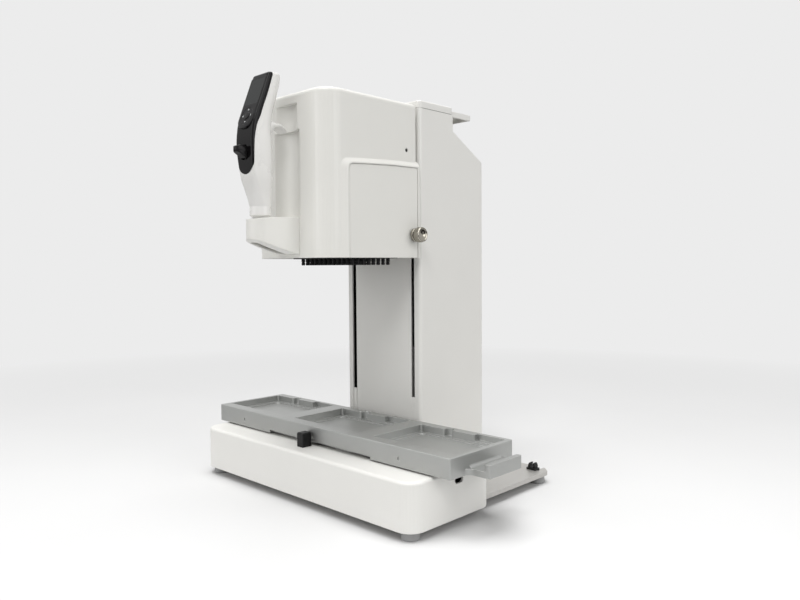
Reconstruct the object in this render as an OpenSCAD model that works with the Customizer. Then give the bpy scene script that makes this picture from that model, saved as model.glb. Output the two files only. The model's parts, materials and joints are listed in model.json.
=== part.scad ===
// Bench-top 96-channel pipetting robot: a sliding three-plate stage on a flat base, a tower
// with a screw-driven lift, and a pipetting head that is steered by an upright handset.
// X runs along the stage, Y from front to back, Z up. Lengths are millimetres.

/* [Base] */
// Width of the base cover along the stage
base_w = 413; // [380:1:460]
// Depth of the base cover, front to back
base_d = 145; // [140:1:170]
// Height of the base cover, without the feet
base_h = 56.5; // [45:0.5:70]
// Radius of the base cover's upright corners
base_corner_r = 20; // [10:1:30]
// Softness of the base cover's top edge
base_edge_r = 4; // [2:0.5:6]
// Wall of the base cover
base_wall = 3; // [2:0.5:4]
// Clear gap between the back of the base cover and the tower
base_to_tower = 17.7; // [10:0.1:30]
// Height of the feet
foot_h = 10.9; // [8:0.1:16]
// Diameter of the feet
foot_d = 21.5; // [16:0.5:28]
// Thickness of the base plate
plate_t = 6; // [3:0.1:8]
// Inset of the base plate's sides from the sides of the base cover
plate_inset = 16.2; // [14:0.1:30]
// How far the base plate runs past the front edge of the tower's rear wall
plate_rear_margin = 0.3; // [0:0.1:10]
// Corner cut of the base plate
plate_chamfer = 10; // [4:1:20]
// Inset of the front feet from the sides of the base cover
front_foot_inset = 17.1; // [16:0.1:30]
// Inset of the rear feet from the sides of the base plate
rear_foot_inset = 13.8; // [11:0.1:30]
// Inset of the rear feet from the back of the base plate
rear_foot_back = 14.8; // [12:0.1:30]
// Width of the cable notch in the base plate's rear edge
cable_notch_w = 22; // [10:1:30]
// Depth of that notch
cable_notch_d = 7; // [3:0.5:8]

/* [Stage] */
// Length of the stage
stage_l = 450; // [440:1:480]
// Depth of the stage
stage_w = 115; // [110:1:130]
// Thickness of the stage
stage_h = 23.7; // [20:0.1:30]
// Gap between the base cover and the stage
stage_gap = 2; // [1:0.1:4]
// Distance from the stage's back edge to the front of the tower
stage_to_tower = 12.8; // [8:0.1:30]
// Where the stage rests along its slide, from the tower's centre line
stage_rest = 6.5; // [-20:0.5:20]
// Length of a plate nest
nest_l = 128.5; // [128:0.1:130]
// Width of a plate nest
nest_w = 86.3; // [85.6:0.1:88]
// Depth of a plate nest
nest_depth = 9; // [5:0.5:12]
// Distance between the nests
nest_pitch = 155; // [142:1:156]
// Wall behind the nests
nest_rear_wall = 13; // [10:0.5:18]
// Radius of the relief in each nest corner
nest_relief_r = 2.6; // [1.5:0.1:4]
// Width of the notch in the wall behind each nest
notch_w = 12.6; // [8:0.1:16]
// Round of the wall's corners beside that notch
notch_lip_r = 2.6; // [1:0.1:2.8]
// Sideways place of that notch, from the middle of the nest
notch_x = -19; // [-40:1:10]
// Where the wall behind each nest steps back, from the middle of the nest
step_x = 23; // [16:1:50]
// How far that wall steps back
step_back = 7; // [3:0.5:9]
// Depth of the shallow well in a nest's floor
well_depth = 1.6; // [0.8:0.1:2]
// Radius of the stage's upright corners
stage_corner_r = 1.4; // [1:0.1:6]
// Chamfer round the stage's top
stage_edge = 0.8; // [0.4:0.1:2]
// How far the stage's end handle stands out
tab_out = 28.8; // [20:0.1:40]
// Width of the stage's end handle
tab_w = 60.5; // [40:0.5:80]
// Thickness of the end handle's web
tab_t = 6.9; // [5:0.1:9]
// Height of the lip along the end handle
lip_h = 14.8; // [11:0.1:18]
// Thickness of that lip
lip_t = 7; // [5:0.1:10]
// Radius of the hollow roots beside the end handle
tab_root_r = 8; // [4:0.5:13]
// Height of the cut-out under the stage's front edge
stage_cut_h = 4; // [2:0.5:6]
// Length of the cut-out under the stage's front edge
stage_cut_l = 202; // [100:1:260]

/* [Index block] */
// Width of the index block at the stage's front
index_w = 12.6; // [10:0.1:20]
// Depth of the index block
index_d = 14; // [10:0.5:20]
// Height of the index block
index_h = 18.3; // [12:0.1:22]
// Gap between the index block and the stage
index_gap = 2; // [1:0.1:4]
// Sideways place of the index block
index_x = -7; // [-20:1:20]

/* [Tower] */
// Width of the tower
tower_w = 146; // [140:1:170]
// Depth of the tower
tower_d = 138; // [125:1:160]
// Height of the tower's body above the bench
tower_top = 509.4; // [505:0.1:560]
// Height of the cap on the tower
cap_h = 9.9; // [6:0.1:16]
// Depth of the tower's narrow top
neck_d = 69.3; // [62:0.1:80]
// Height of the tower's narrow top
neck_h = 22.9; // [15:0.1:40]
// Slope of the tower's rear shoulder
shoulder_angle = 29.9; // [20:0.1:40]
// Sheet thickness of the tower
tower_wall = 2.5; // [1.5:0.1:4]
// Width of the two lift slots
slot_w = 7; // [6.8:0.1:9]
// Distance from the tower's side to the middle of a lift slot
slot_inset = 14.5; // [14:0.1:18]
// Height of the bottom of the lift slots above the bench
slot_bottom = 120; // [110:1:126]
// How far the carrying handle stands out behind the tower
handle_out = 41; // [30:1:50]
// Thickness of the carrying handle
handle_t = 7.7; // [5:0.1:10]

/* [Head] */
// Width of the head above its shoulders
head_w = 146; // [140:1:160]
// Depth of the head
head_d = 159; // [152:1:175]
// Height of the head
head_h = 202; // [190:1:220]
// How far the head's top lies below the top of the tower's cap
head_drop = 7.3; // [2:0.1:12]
// Radius of the head's upright front corners
head_corner_r = 24; // [12:1:32]
// Softness of the head's top edge
head_edge_r = 5; // [2:0.5:6]
// Wall of the head cover
head_wall = 3; // [2:0.5:4]
// How far the head's lower shoulders stand proud
shoulder_out = 4; // [2:0.5:6]
// Distance from the head's front to the front edge of its side panels
panel_inset = 34; // [30:0.5:48]
// Height of the side panels at their front, above the head's lower edge
band_low = 113; // [106:0.5:122]
// Height of the side panels at their back
band_high = 118.3; // [108:0.1:126]
// Gap between the head and the tower
head_gap = 3.7; // [2:0.1:6]
// Width of the finger recess in the head's front
recess_w = 50; // [40:1:60]
// Depth of the finger recess behind the grip
recess_depth = 11; // [8:0.5:14]
// Depth of the shallower recess above the finger hook
brow_depth = 6; // [3:0.5:7]
// Height of the step in the recess above the head's lower edge
brow_h = 156; // [140:1:170]
// Diameter of the clamp knobs
knob_d = 20; // [14:0.5:26]
// Length of the clamp knobs
knob_l = 15; // [10:0.5:20]

/* [Pipetting block] */
// Spacing of the channels
pitch = 9; // [8.5:0.1:9.5]
// Outer diameter of a tip fitting
nozzle_d = 5; // [4:0.1:5.6]
// Length of a tip fitting below the seal plate
nozzle_l = 9; // [7:0.5:12]
// Diameter of a piston
piston_d = 2.9; // [2:0.1:3.4]
// Stroke of the pistons
piston_stroke = 25; // [15:1:28]
// Stroke of the tip ejector
eject_stroke = 6; // [4:0.5:7]

/* [Lift] */
// Diameter of the lift screw
screw_d = 12; // [8:0.5:14]
// Radial clearance of running fits
run_gap = 0.05; // [0.02:0.01:0.1]
// Clearance of sliding parts
slide_gap = 0.4; // [0.3:0.05:0.6]

/* [Handset] */
// Diameter of the handset's collar
collar_d = 25.4; // [22:0.1:30]
// Height of the handset's collar
collar_h = 13; // [8:0.5:18]
// Width of the handset
grip_w = 34; // [30:1:40]
// Distance of the handset's foot in front of the head
handset_out = 41; // [36:1:46]
// Width of the thumb lever
lever_w = 12; // [9:0.5:15]
// How far the thumb lever reaches in front of the handset's axis
lever_reach = 35.2; // [30:0.1:38]

/* [Hidden] */

$fn = 48;
eps = 0.01;
hull_fn = 32;
// reach of cutting bodies that pass right through
far = 700;

// Heights and depths that several pieces share
deck_z = foot_h + base_h;
stage_z = deck_z + stage_gap;
stage_top = stage_z + stage_h;
tower_y = 2.7;
base_back = tower_y - base_to_tower;
base_front = base_back - base_d;
stage_back = tower_y - stage_to_tower;
stage_front = stage_back - stage_w;
stage_mid = stage_back - stage_w / 2;
plate_w = base_w - 2 * plate_inset;
plate_top = foot_h + plate_t;
tower_back = tower_y + tower_d;
plate_back = tower_back + plate_rear_margin;
neck_back = tower_y + neck_d;
cap_top = tower_top + cap_h;
slot_pitch = tower_w - 2 * slot_inset;
slot_x = slot_pitch / 2;
cap_back = neck_back + 1.4;
head_back = tower_y - head_gap;
head_front = head_back - head_d;
head_top = cap_top - head_drop;
head_bottom = head_top - head_h;
block_y = stage_back - nest_rear_wall - nest_w / 2;
console_y = head_front - handset_out;

// The model stands on the middle of its own footprint
lever_front = console_y - lever_reach;
right_end = stage_rest + stage_l / 2 + tab_out;
left_end = stage_rest - stage_l / 2;
mid_x = (right_end + left_end) / 2;
mid_y = (plate_back + lever_front) / 2;
module placed() translate([-mid_x, -mid_y, 0]) children();

// ---- shared shapes ----

// A box from its lowest to its highest corner
module slab(a, b) translate(a) cube(b - a);

// A box that is mirrored to both sides of the centre plane
module pair() {
    children();
    mirror([1, 0, 0]) children();
}

// A flat plate with round upright corners, centred in X and Y
module round_plate(w, d, h, r) linear_extrude(h) round_outline(w, d, r);
module round_outline(w, d, r) {
    square([w - 2 * r, d], center = true);
    square([w, d - 2 * r], center = true);
    for (sx = [-1, 1], sy = [-1, 1])
        translate([sx * (w / 2 - r), sy * (d / 2 - r)]) circle(r);
}

// A closed block with soft top edges: rf rounds its front corners, rr its back corners
module soft_block(w, y0, y1, z0, z1, rf, rr, edge) {
    steps = 4;
    hull()
        for (side = [-1, 1], k = [0 : steps]) {
            inset = edge * (1 - cos(90 * k / steps));
            top = z1 - z0 - edge + edge * sin(90 * k / steps);
            translate([side * (w / 2 - rf), y0 + rf, z0])
                cylinder(r = rf - inset, h = top, $fn = hull_fn);
            translate([side * (w / 2 - rr), y1 - rr, z0])
                cylinder(r = rr - inset, h = top, $fn = hull_fn);
        }
}

// A cylinder that lies along X, from x0 to x1
module rod_x(x0, x1, y, z, r) translate([x0, y, z]) rotate([0, 90, 0]) cylinder(r = r, h = x1 - x0);

// A cylinder that lies along Y, from y0 to y1
module rod_y(x, y0, y1, z, r) translate([x, y0, z]) rotate([-90, 0, 0]) cylinder(r = r, h = y1 - y0);

// A flat polygon in the plane across X, extruded from x0 to x1; its points are [y, z]
module profile_x(x0, x1, points)
    translate([x0, 0, 0]) rotate([90, 0, 90]) linear_extrude(x1 - x0) polygon(points);

// A flat polygon in the plane across Y, extruded from y0 to y1; its points are [x, z]
module profile_y(y0, y1, points)
    translate([0, y1, 0]) rotate([90, 0, 0]) linear_extrude(y1 - y0) polygon(points);

// Side outline of a block with its two top edges cut by e
function cut_top(a, b, low, high, e) =
    [[a, low], [b, low], [b, high - e], [b - e, high], [a + e, high], [a, high - e]];

// ---- base ----

front_foot = [base_w / 2 - front_foot_inset, base_front + front_foot_inset];
rear_foot = [plate_w / 2 - rear_foot_inset, plate_back - rear_foot_back];
FEET = [front_foot, [-front_foot[0], front_foot[1]], rear_foot, [-rear_foot[0], rear_foot[1]]];
foot_screw_r = 2.5;
foot_head_r = 4.5;
foot_head_h = 2.2;
stud_r = 2.2;
stud_l = 8;
socket_y = base_back - base_d * 0.42;
socket_z = deck_z - 12;

module base_cover() color([0.93, 0.92, 0.90]) placed() difference() {
    soft_block(base_w, base_front, base_back, foot_h, deck_z, base_corner_r, base_corner_r, base_edge_r);
    difference() {
        soft_block(base_w - 2 * base_wall, base_front + base_wall, base_back - base_wall,
                   foot_h - 1, deck_z - base_wall, base_corner_r - base_wall,
                   base_corner_r - base_wall, base_edge_r);
        // posts that carry the slide's blocks
        for (x = GUIDE_X, y = GUIDE_Y) translate([x, y, plate_top]) cylinder(r = 7, h = base_h);
    }
    // the base plate passes under the rear wall
    slab([-plate_w / 2 - 0.3, base_back - base_wall - 1, foot_h - 1],
         [plate_w / 2 + 0.3, base_back + 1, plate_top]);
    // a port with a rounded end in the right side
    hull() {
        rod_x(base_w / 2 - 2 * base_wall, base_w / 2 + 1, socket_y, socket_z, 4);
        rod_x(base_w / 2 - 2 * base_wall, base_w / 2 + 1, socket_y - 7, socket_z, 4);
    }
    for (x = GUIDE_X, y = GUIDE_Y) translate([x, y, deck_z - stud_l - 1])
        cylinder(r = stud_r + run_gap, h = 2 * stud_l);
}

module base_plate() color([0.80, 0.80, 0.79]) placed() difference() {
    inner_w = base_w - 2 * base_wall - 1;
    front = base_front + base_wall + 1;
    half = plate_w / 2;
    translate([0, 0, foot_h]) linear_extrude(plate_t) {
        polygon([[-half, base_back - 30], [half, base_back - 30], [half, plate_back - plate_chamfer],
                 [half - plate_chamfer, plate_back], [plate_chamfer - half, plate_back],
                 [-half, plate_back - plate_chamfer]]);
        translate([0, (front + base_back - base_wall - 1) / 2])
            round_outline(inner_w, base_back - base_wall - 1 - front, base_corner_r - base_wall);
    }
    for (p = FEET) translate([p[0], p[1], 0]) {
        cylinder(r = foot_screw_r + run_gap, h = 40);
        translate([0, 0, plate_top - foot_head_h]) cylinder(r = foot_head_r + run_gap, h = 5);
    }
    // notch that lets the cable leave behind the clip
    slab([clip_x - cable_notch_w / 2 - 4, plate_back - cable_notch_d, 0],
         [clip_x + cable_notch_w / 2 - 4, plate_back + 1, plate_top + 1]);
    // cooling slits under the electronics
    for (k = [-4 : 4]) translate([k * 12, tower_back - 50, foot_h - 1])
        linear_extrude(plate_t + 2) round_outline(4, 40, 1.9);
}

module feet() color([0.62, 0.62, 0.62]) placed()
    for (p = FEET) translate([p[0], p[1], 0]) rotate_extrude()
        polygon([[0, 3.5], [6, 3.5], [6, 0], [foot_d / 2 - 1, 0], [foot_d / 2, 1],
                 [foot_d / 2, foot_h - 1], [foot_d / 2 - 1, foot_h], [0, foot_h]]);

module foot_screws() color([0.55, 0.55, 0.56]) placed()
    for (p = FEET) translate([p[0], p[1], plate_top - foot_head_h]) {
        cylinder(r = foot_head_r, h = foot_head_h);
        translate([0, 0, foot_head_h - plate_t]) cylinder(r = foot_screw_r, h = plate_t - 1);
    }

// An open-topped clip that holds a cable at the plate's back corner
clip_y = plate_back - 16;
clip_x = plate_w / 2 - 19.3;
clip_half = 4;
module cable_clip() color([0.05, 0.05, 0.05]) placed() translate([clip_x, clip_y, plate_top]) {
    round_plate(16, 11, 2.4, 2);
    difference() {
        union() {
            slab([-5.4, -clip_half, 2], [5.4, clip_half, 6]);
            rod_y(0, -clip_half, clip_half, 5.3, 5.2);
        }
        rod_y(0, -6, 6, 6, 3);
        profile_y(-6, 6, [[-1.6, 6], [1.6, 6], [3.6, 12], [-3.6, 12]]);
        slab([-10, -6, -10], [10, 6, eps]);
    }
}

// ---- stage and its slide ----

guide_half = 45;
GUIDE_X = [-guide_half, guide_half];
GUIDE_Y = [stage_mid - 38, stage_mid + 38];
rail_w = 9;
rail_h = 6;
groove_h = stage_h - nest_depth - 4.5;
block_w = 18;

// Four fixed blocks on the base that the stage's two rails run through
module guide_blocks() color([0.30, 0.31, 0.33]) placed()
    for (x = GUIDE_X, y = GUIDE_Y) difference() {
        translate([x, y, deck_z]) {
            linear_extrude(groove_h + stage_gap - 1) round_outline(28, block_w, 2);
            translate([0, 0, -stud_l]) cylinder(r = stud_r, h = stud_l + eps);
        }
        slab([x - 20, y - rail_w / 2 - slide_gap, stage_z + groove_h - rail_h - slide_gap],
             [x + 20, y + rail_w / 2 + slide_gap, stage_top]);
    }

rail_screw_r = 2;
screw_pitch = 50;
module stage_rails() color([0.75, 0.76, 0.78]) placed()
    for (y = GUIDE_Y) difference() {
        slab([stage_rest - stage_l / 2 + 12, y - rail_w / 2, stage_z + groove_h - rail_h],
             [stage_rest + stage_l / 2 - 12, y + rail_w / 2, stage_z + groove_h]);
        for (k = [-4 : 4]) translate([stage_rest + k * screw_pitch, y, stage_z])
            cylinder(r = rail_screw_r + run_gap, h = groove_h + 1);
    }

NESTS = [for (k = [-1 : 1]) stage_rest + k * nest_pitch];
nest_back = stage_back - nest_rear_wall;
nest_mid = nest_back - nest_w / 2;

// One plate nest: its pocket, the round relief in each corner and the two finger notches
module nest_cut() translate([0, 0, stage_top - nest_depth]) {
    linear_extrude(nest_depth + 1) {
        square([nest_l, nest_w], center = true);
        for (sx = [-1, 1], sy = [-1, 1])
            translate([sx * (nest_l / 2 - 0.7 * nest_relief_r), sy * (nest_w / 2 - 0.7 * nest_relief_r)])
                circle(nest_relief_r);
        // notch with a round end in the rear wall
        translate([notch_x - notch_w / 2, nest_w / 2 - 1]) square([notch_w, 4]);
        translate([notch_x, nest_w / 2 + 3]) circle(notch_w / 2);
        for (s = [-1, 1]) difference() {
            translate([notch_x + s * (notch_w + notch_lip_r - 0.2) / 2, nest_w / 2 + notch_lip_r / 2 - 0.1])
                square(notch_lip_r + 0.2, center = true);
            translate([notch_x + s * (notch_w / 2 + notch_lip_r), nest_w / 2 + notch_lip_r])
                circle(notch_lip_r);
        }
    }
    // the rear wall steps back beside the plate's corner
    translate([step_x, 0, 2]) linear_extrude(nest_depth)
        square([nest_l / 2 - step_x, nest_w / 2 + step_back]);
    // shallow well under the plate
    translate([0, 0, -well_depth]) round_plate(nest_l - 16, nest_w - 14, nest_depth, 6);
}

tab_mid = stage_mid + 4.4;
end_r = 1.5;
cove_r = 4;
module stage_plate() color([0.66, 0.67, 0.67]) placed() difference() {
    union() {
        intersection() {
            translate([stage_rest, stage_mid, stage_z])
                round_plate(stage_l, stage_w, stage_h, stage_corner_r);
            profile_x(left_end, left_end + stage_l,
                      cut_top(stage_front, stage_back, stage_z, stage_top, stage_edge));
            profile_y(stage_front, stage_back,
                      cut_top(left_end, left_end + stage_l, stage_z, stage_top, stage_edge));
        }
        end_handle();
    }
    for (x = NESTS) translate([x, nest_mid, 0]) nest_cut();
    // grooves for the slide's rails and blocks
    for (y = GUIDE_Y) slab([left_end + 6, y - block_w / 2 - 1, stage_z - 1],
                           [stage_rest + stage_l / 2 - 6, y + block_w / 2 + 1, stage_z + groove_h]);
    slab([left_end + 6, stage_mid - 24, stage_z - 1],
         [stage_rest + stage_l / 2 - 6, stage_mid + 24, stage_z + groove_h - 2]);
    // raised front edge, and the index dimples
    slab([stage_rest - stage_cut_l / 2, stage_front - 1, stage_z - 1],
         [stage_rest + stage_cut_l / 2, stage_front + 7, stage_z + stage_cut_h]);
    for (x = NESTS) rod_y(x + index_x, stage_front - 1, stage_front + 1.2, index_z, 2.4);
    for (y = GUIDE_Y, k = [-4 : 4]) translate([stage_rest + k * screw_pitch, y, stage_z])
        cylinder(r = rail_screw_r + run_gap, h = groove_h + 2.4);
}

// Outline of a small cove beside a wall at x, on a floor at z; s tells which side the floor lies on
function cove(x, z, s) = concat([[x - s, z - 1], [x + s * cove_r, z - 1]],
    [for (k = [0 : 5]) [x + s * cove_r * (1 - sin(15 * k + 7.5)), z + cove_r * (1 - cos(15 * k + 7.5))]],
    [[x - s, z + cove_r]]);

// The handle on the stage's right end: a thin web with hollow round roots, and a standing lip
module end_handle() {
    x0 = left_end + stage_l;
    x1 = right_end;
    y0 = tab_mid - tab_w / 2;
    y1 = tab_mid + tab_w / 2;
    lip_x = x1 - lip_t;
    web_z = stage_z + tab_t;
    translate([0, 0, stage_z]) linear_extrude(tab_t) {
        translate([x0 - 1, y0]) square([x1 - x0 + 1 - end_r, tab_w]);
        for (s = [-1, 1]) difference() {
            translate([x0 - 1, s > 0 ? y1 : y0 - tab_root_r]) square([tab_root_r + 1, tab_root_r]);
            translate([x0 + tab_root_r, s > 0 ? y1 + tab_root_r : y0 - tab_root_r]) circle(tab_root_r);
        }
    }
    translate([(lip_x + x1) / 2, tab_mid, stage_z]) round_plate(lip_t, tab_w, lip_h, end_r);
    // small coves where the web meets the stage and the lip
    profile_y(y0 + end_r, y1 - end_r, cove(x0, web_z, 1));
    profile_y(y0 + end_r, y1 - end_r, cove(lip_x, web_z, -1));
}

// Screws that hold the rails up into the stage
module stage_screws() color([0.5, 0.5, 0.52]) placed()
    for (y = GUIDE_Y, k = [-4 : 4]) translate([stage_rest + k * screw_pitch, y, stage_z + groove_h - rail_h])
        cylinder(r = rail_screw_r, h = rail_h + 2.3);

// ---- index block ----

index_z = deck_z + 0.62 * index_h;
index_back = stage_front - index_gap;
plunger_r = 2.5;
module index_block() color([0.05, 0.05, 0.05]) placed() difference() {
    y0 = index_back - index_d;
    translate([index_x, index_back - index_d / 2, deck_z]) {
        round_plate(index_w, index_d, index_h - 1, 1);
        round_plate(index_w - 1.6, index_d - 1.6, index_h, 0.6);
    }
    rod_y(index_x, y0 + 4, index_back + 1, index_z, plunger_r + run_gap);
}

// The sprung plunger that clicks into the stage's dimples
module index_plunger() color([0.75, 0.76, 0.78]) placed() {
    rod_y(index_x, index_back - 7, stage_front - slide_gap - 1.4, index_z, plunger_r);
    translate([index_x, stage_front - slide_gap - 1.4, index_z]) rotate([-90, 0, 0])
        rotate_extrude() polygon([[0, 0], [plunger_r, 0], [plunger_r - 0.5, 0.8], [1.2, 1.4], [0, 1.4]]);
}

// ---- tower ----

// Corner points of the tower's side outline, [y, z], moved inwards by t
function tower_outline(t) = let (lift = t * tan(shoulder_angle) - t / cos(shoulder_angle))
    [[tower_y + t, plate_top + (t > 0 ? -1 : 0)], [tower_y + t, tower_top - t],
     [neck_back - t, tower_top - t], [neck_back - t, tower_top - neck_h + lift],
     [tower_back - t, tower_top - neck_h - (tower_back - neck_back) * tan(shoulder_angle) + lift],
     [tower_back - t, plate_top + (t > 0 ? -1 : 0)]];

module tower_form(t) intersection() {
    profile_x(-tower_w / 2 + t, tower_w / 2 - t, tower_outline(t));
    translate([0, (tower_y + tower_back) / 2, 0])
        round_plate(tower_w - 2 * t, tower_d - 2 * t, far, max(5 - t, 1));
}

flange_in = slot_pitch / 2 + slot_w / 2;
panel_half = slot_pitch / 2 - slot_w / 2;
panel_back_set = 1.2;
stay_x = 38;
switch_x = -38;
inlet_x = 38;
port_z = 60;

module tower_cover() color([0.90, 0.90, 0.88]) placed() difference() {
    tower_form(0);
    tower_form(tower_wall);
    // open front between the two flanges
    slab([-flange_in, tower_y - 1, plate_top - 1], [flange_in, tower_y + tower_wall + 1, tower_top - 8]);
    // rear openings: inlet, switch and air slits
    rod_y(inlet_x, tower_back - 10, tower_back + 1, port_z, 7);
    slab([switch_x - 7, tower_back - 10, port_z - 10.5], [switch_x + 7, tower_back + 1, port_z + 10.5]);
    for (k = [0 : 7]) slab([-30, tower_back - 10, 330 + k * 10], [30, tower_back + 1, 334 + k * 10]);
}

module tower_front_panel() color([0.90, 0.89, 0.86]) placed() {
    slab([-panel_half, tower_y + panel_back_set, plate_top],
         [panel_half, tower_y + panel_back_set + 2, tower_top - 8]);
    // stays to the spine, clear of the lift's way
    for (z = [[plate_top, cross_z - travel - 8], [cross_z + 48, rail_top]])
        pair() slab([stay_x, tower_y + panel_back_set + 1, z[0]], [stay_x + 2, spine_y, z[1]]);
}

// Strips that close the slots below the lift's lowest place
module slot_strips() color([0.90, 0.89, 0.86]) placed()
    for (s = [-1, 1]) slab([s * slot_pitch / 2 - slot_w / 2 + 0.3, tower_y + 0.8, plate_top],
                           [s * slot_pitch / 2 + slot_w / 2 - 0.3, tower_y + 3.2, slot_bottom]);

module top_cap() color([0.92, 0.92, 0.90]) placed() difference() {
    soft_block(tower_w, tower_y, cap_back, tower_top, cap_top, 6, 6, 2);
    translate([0, 0, -eps]) soft_block(tower_w - 8, tower_y + 4, cap_back - 4, tower_top,
                                       cap_top - 3, 3, 3, 2);
}

handle_z = tower_top - 2.4;
module carry_handle() color([0.90, 0.90, 0.88]) placed() difference() {
    slab([-tower_w / 2 + 3, neck_back, handle_z],
         [tower_w / 2 - 3, cap_back + handle_out, handle_z + handle_t]);
    slab([-tower_w, neck_back - 1, tower_top], [tower_w, cap_back, handle_z + handle_t + 1]);
    // hollow underside
    slab([-tower_w / 2 + 6, cap_back + 3, handle_z - 1],
         [tower_w / 2 - 6, cap_back + handle_out - 3, handle_z + handle_t - 2.5]);
}

// ---- lift inside the tower ----

spine_y = 48;
spine_t = 6;
lift_y = 30;
lift_foot = 90;
rail_top = tower_top - 14;
lift_rail_w = 9;
motor_h = 44;
motor_z = plate_top + 4;
bracket_z = motor_z + motor_h;
journal_r = 5;
shaft_r = 3;
screw_r = screw_d / 2;
travel = head_bottom - slot_bottom - 5;
yoke_low = head_bottom + 2;
yoke_high = head_bottom + 160;
cross_z = head_bottom + 70;
nut_r = 11;

// The upright plate that carries the rails, bearings and motor
module tower_spine() color([0.70, 0.71, 0.72]) placed() difference() {
    slab([-tower_w / 2 + 6, spine_y, plate_top], [tower_w / 2 - 6, spine_y + spine_t, rail_top + 5]);
    slab([-36, spine_y - 1, plate_top - 1], [36, spine_y + spine_t + 1, lift_foot - 10]);
    for (k = [0 : 3]) translate([0, 0, 170 + k * 75]) rod_y(0, spine_y - 1, spine_y + spine_t + 1, 0, 16);
}

module guide_channels() color([0.06, 0.06, 0.06]) placed() pair() {
    slab([slot_x - 9, spine_y - 2, lift_foot], [tower_w / 2 - tower_wall - 0.3, spine_y, rail_top]);
    slab([tower_w / 2 - tower_wall - 1.8, tower_y + tower_wall + 3, lift_foot],
         [tower_w / 2 - tower_wall - 0.3, spine_y - 1, rail_top]);
}

module lift_rails() color([0.75, 0.76, 0.78]) placed()
    pair() slab([slot_x - lift_rail_w / 2, spine_y - 12, lift_foot + 5],
                [slot_x + lift_rail_w / 2, spine_y - 2, rail_top - 5]);

// Four blocks that run on the lift's rails
carriage_y = spine_y - 20;
carriage_half = lift_rail_w;
carriage_h = 50;
CARRIAGE_Z = [head_bottom + 20, head_bottom + 90];
module rail_carriages() color([0.35, 0.36, 0.38]) placed() pair() for (z = CARRIAGE_Z) difference() {
    slab([slot_x - carriage_half, carriage_y, z], [slot_x + carriage_half, spine_y - 4, z + carriage_h]);
    slab([slot_x - lift_rail_w / 2 - slide_gap, spine_y - 12 - slide_gap, z - 1],
         [slot_x + lift_rail_w / 2 + slide_gap, spine_y, z + carriage_h + 1]);
}

// Two arms through the slots, joined by a bridge that holds the nut
arm_t = slot_w - 1.4;
bridge_h = 40;
nut_h = 30;
module lift_yoke() color([0.70, 0.71, 0.72]) placed() difference() {
    union() {
        pair() slab([slot_x - arm_t / 2, head_back - 10, yoke_low],
                    [slot_x + arm_t / 2, carriage_y, yoke_high]);
        slab([-slot_x, lift_y - 18, cross_z], [slot_x, lift_y - 8, cross_z + bridge_h]);
        translate([0, lift_y, cross_z]) cylinder(r = nut_r + 4, h = nut_h);
        slab([-nut_r - 4, lift_y - 15, cross_z], [nut_r + 4, lift_y, cross_z + nut_h]);
    }
    translate([0, lift_y, cross_z - 1]) cylinder(r = nut_r, h = bridge_h + 2);
}

module lift_nut() color([0.75, 0.62, 0.35]) placed() translate([0, lift_y, cross_z]) difference() {
    union() {
        cylinder(r = nut_r, h = nut_h);
        translate([0, 0, -4]) cylinder(r = nut_r + 5, h = 4);
    }
    translate([0, 0, -5]) cylinder(r = screw_r + run_gap, h = nut_h + 10);
}

module lift_screw() color([0.78, 0.79, 0.80]) placed() translate([0, lift_y, 0]) {
    translate([0, 0, bracket_z + 28]) cylinder(r = screw_r, h = rail_top - 12 - bracket_z - 28);
    translate([0, 0, rail_top - 12 - eps]) cylinder(r = journal_r, h = 12);
    translate([0, 0, bracket_z + 6]) cylinder(r = journal_r, h = 22 + eps);
    // coupling, and the motor's shaft
    translate([0, 0, bracket_z + 6]) cylinder(r = 9, h = 14.5);
    translate([0, 0, bracket_z - 12]) cylinder(r = shaft_r, h = 19);
}

module bearing_blocks() color([0.25, 0.26, 0.28]) placed() {
    difference() {
        slab([-20, 16, rail_top - 10], [20, spine_y, rail_top]);
        translate([0, lift_y, rail_top - 11]) cylinder(r = journal_r + run_gap, h = 20);
    }
    difference() {
        slab([-20, 16, bracket_z + 21], [20, spine_y, bracket_z + 27.6]);
        translate([0, lift_y, bracket_z + 20]) cylinder(r = journal_r + run_gap, h = 20);
    }
}

module motor_bracket() color([0.70, 0.71, 0.72]) placed() difference() {
    union() {
        slab([-24, 8, bracket_z], [24, spine_y + spine_t, bracket_z + 5]);
        slab([-36, spine_y, bracket_z - 20], [36, spine_y + spine_t, lift_foot - 10]);
    }
    translate([0, lift_y, bracket_z - 1]) cylinder(r = 11 + run_gap, h = 8);
}

module lift_motor() color([0.10, 0.10, 0.11]) placed() translate([0, lift_y, motor_z]) difference() {
    union() {
        translate([0, -1, -4]) round_plate(34, 34, 4 + eps, 3);
        translate([0, -1, 0]) round_plate(36, 36, 8, 3);
        translate([0, -1, 8 - eps]) round_plate(35, 35, motor_h - 16 + 2 * eps, 5);
        translate([0, -1, motor_h - 8]) round_plate(36, 36, 8, 3);
        translate([0, 0, motor_h - eps]) cylinder(r = 11, h = 2);
    }
    translate([0, 0, motor_h - 13]) cylinder(r = shaft_r + run_gap, h = 20);
}

board_half = 50;
board_low = 130;
board_high = 300;
board_t = 1.6;
module control_board() color([0.10, 0.32, 0.18]) placed() {
    y = spine_y + spine_t + 12;
    slab([-board_half, y, board_low], [board_half, y + board_t, board_high]);
    for (x = [6 - board_half, board_half - 6], z = [board_low + 6, board_high - 6])
        rod_y(x, spine_y + spine_t, y + eps, z, 2.5);
    for (k = [0 : 2]) slab([15 - board_half, y + board_t - eps, board_low + 20 + 50 * k],
                           [35 - board_half + 6 * k, y + 6, board_low + 50 + 50 * k]);
    for (k = [0 : 3]) rod_y(board_half - 22, y + board_t - eps, y + 14, board_low + 30 + k * 30, 7);
}

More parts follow.
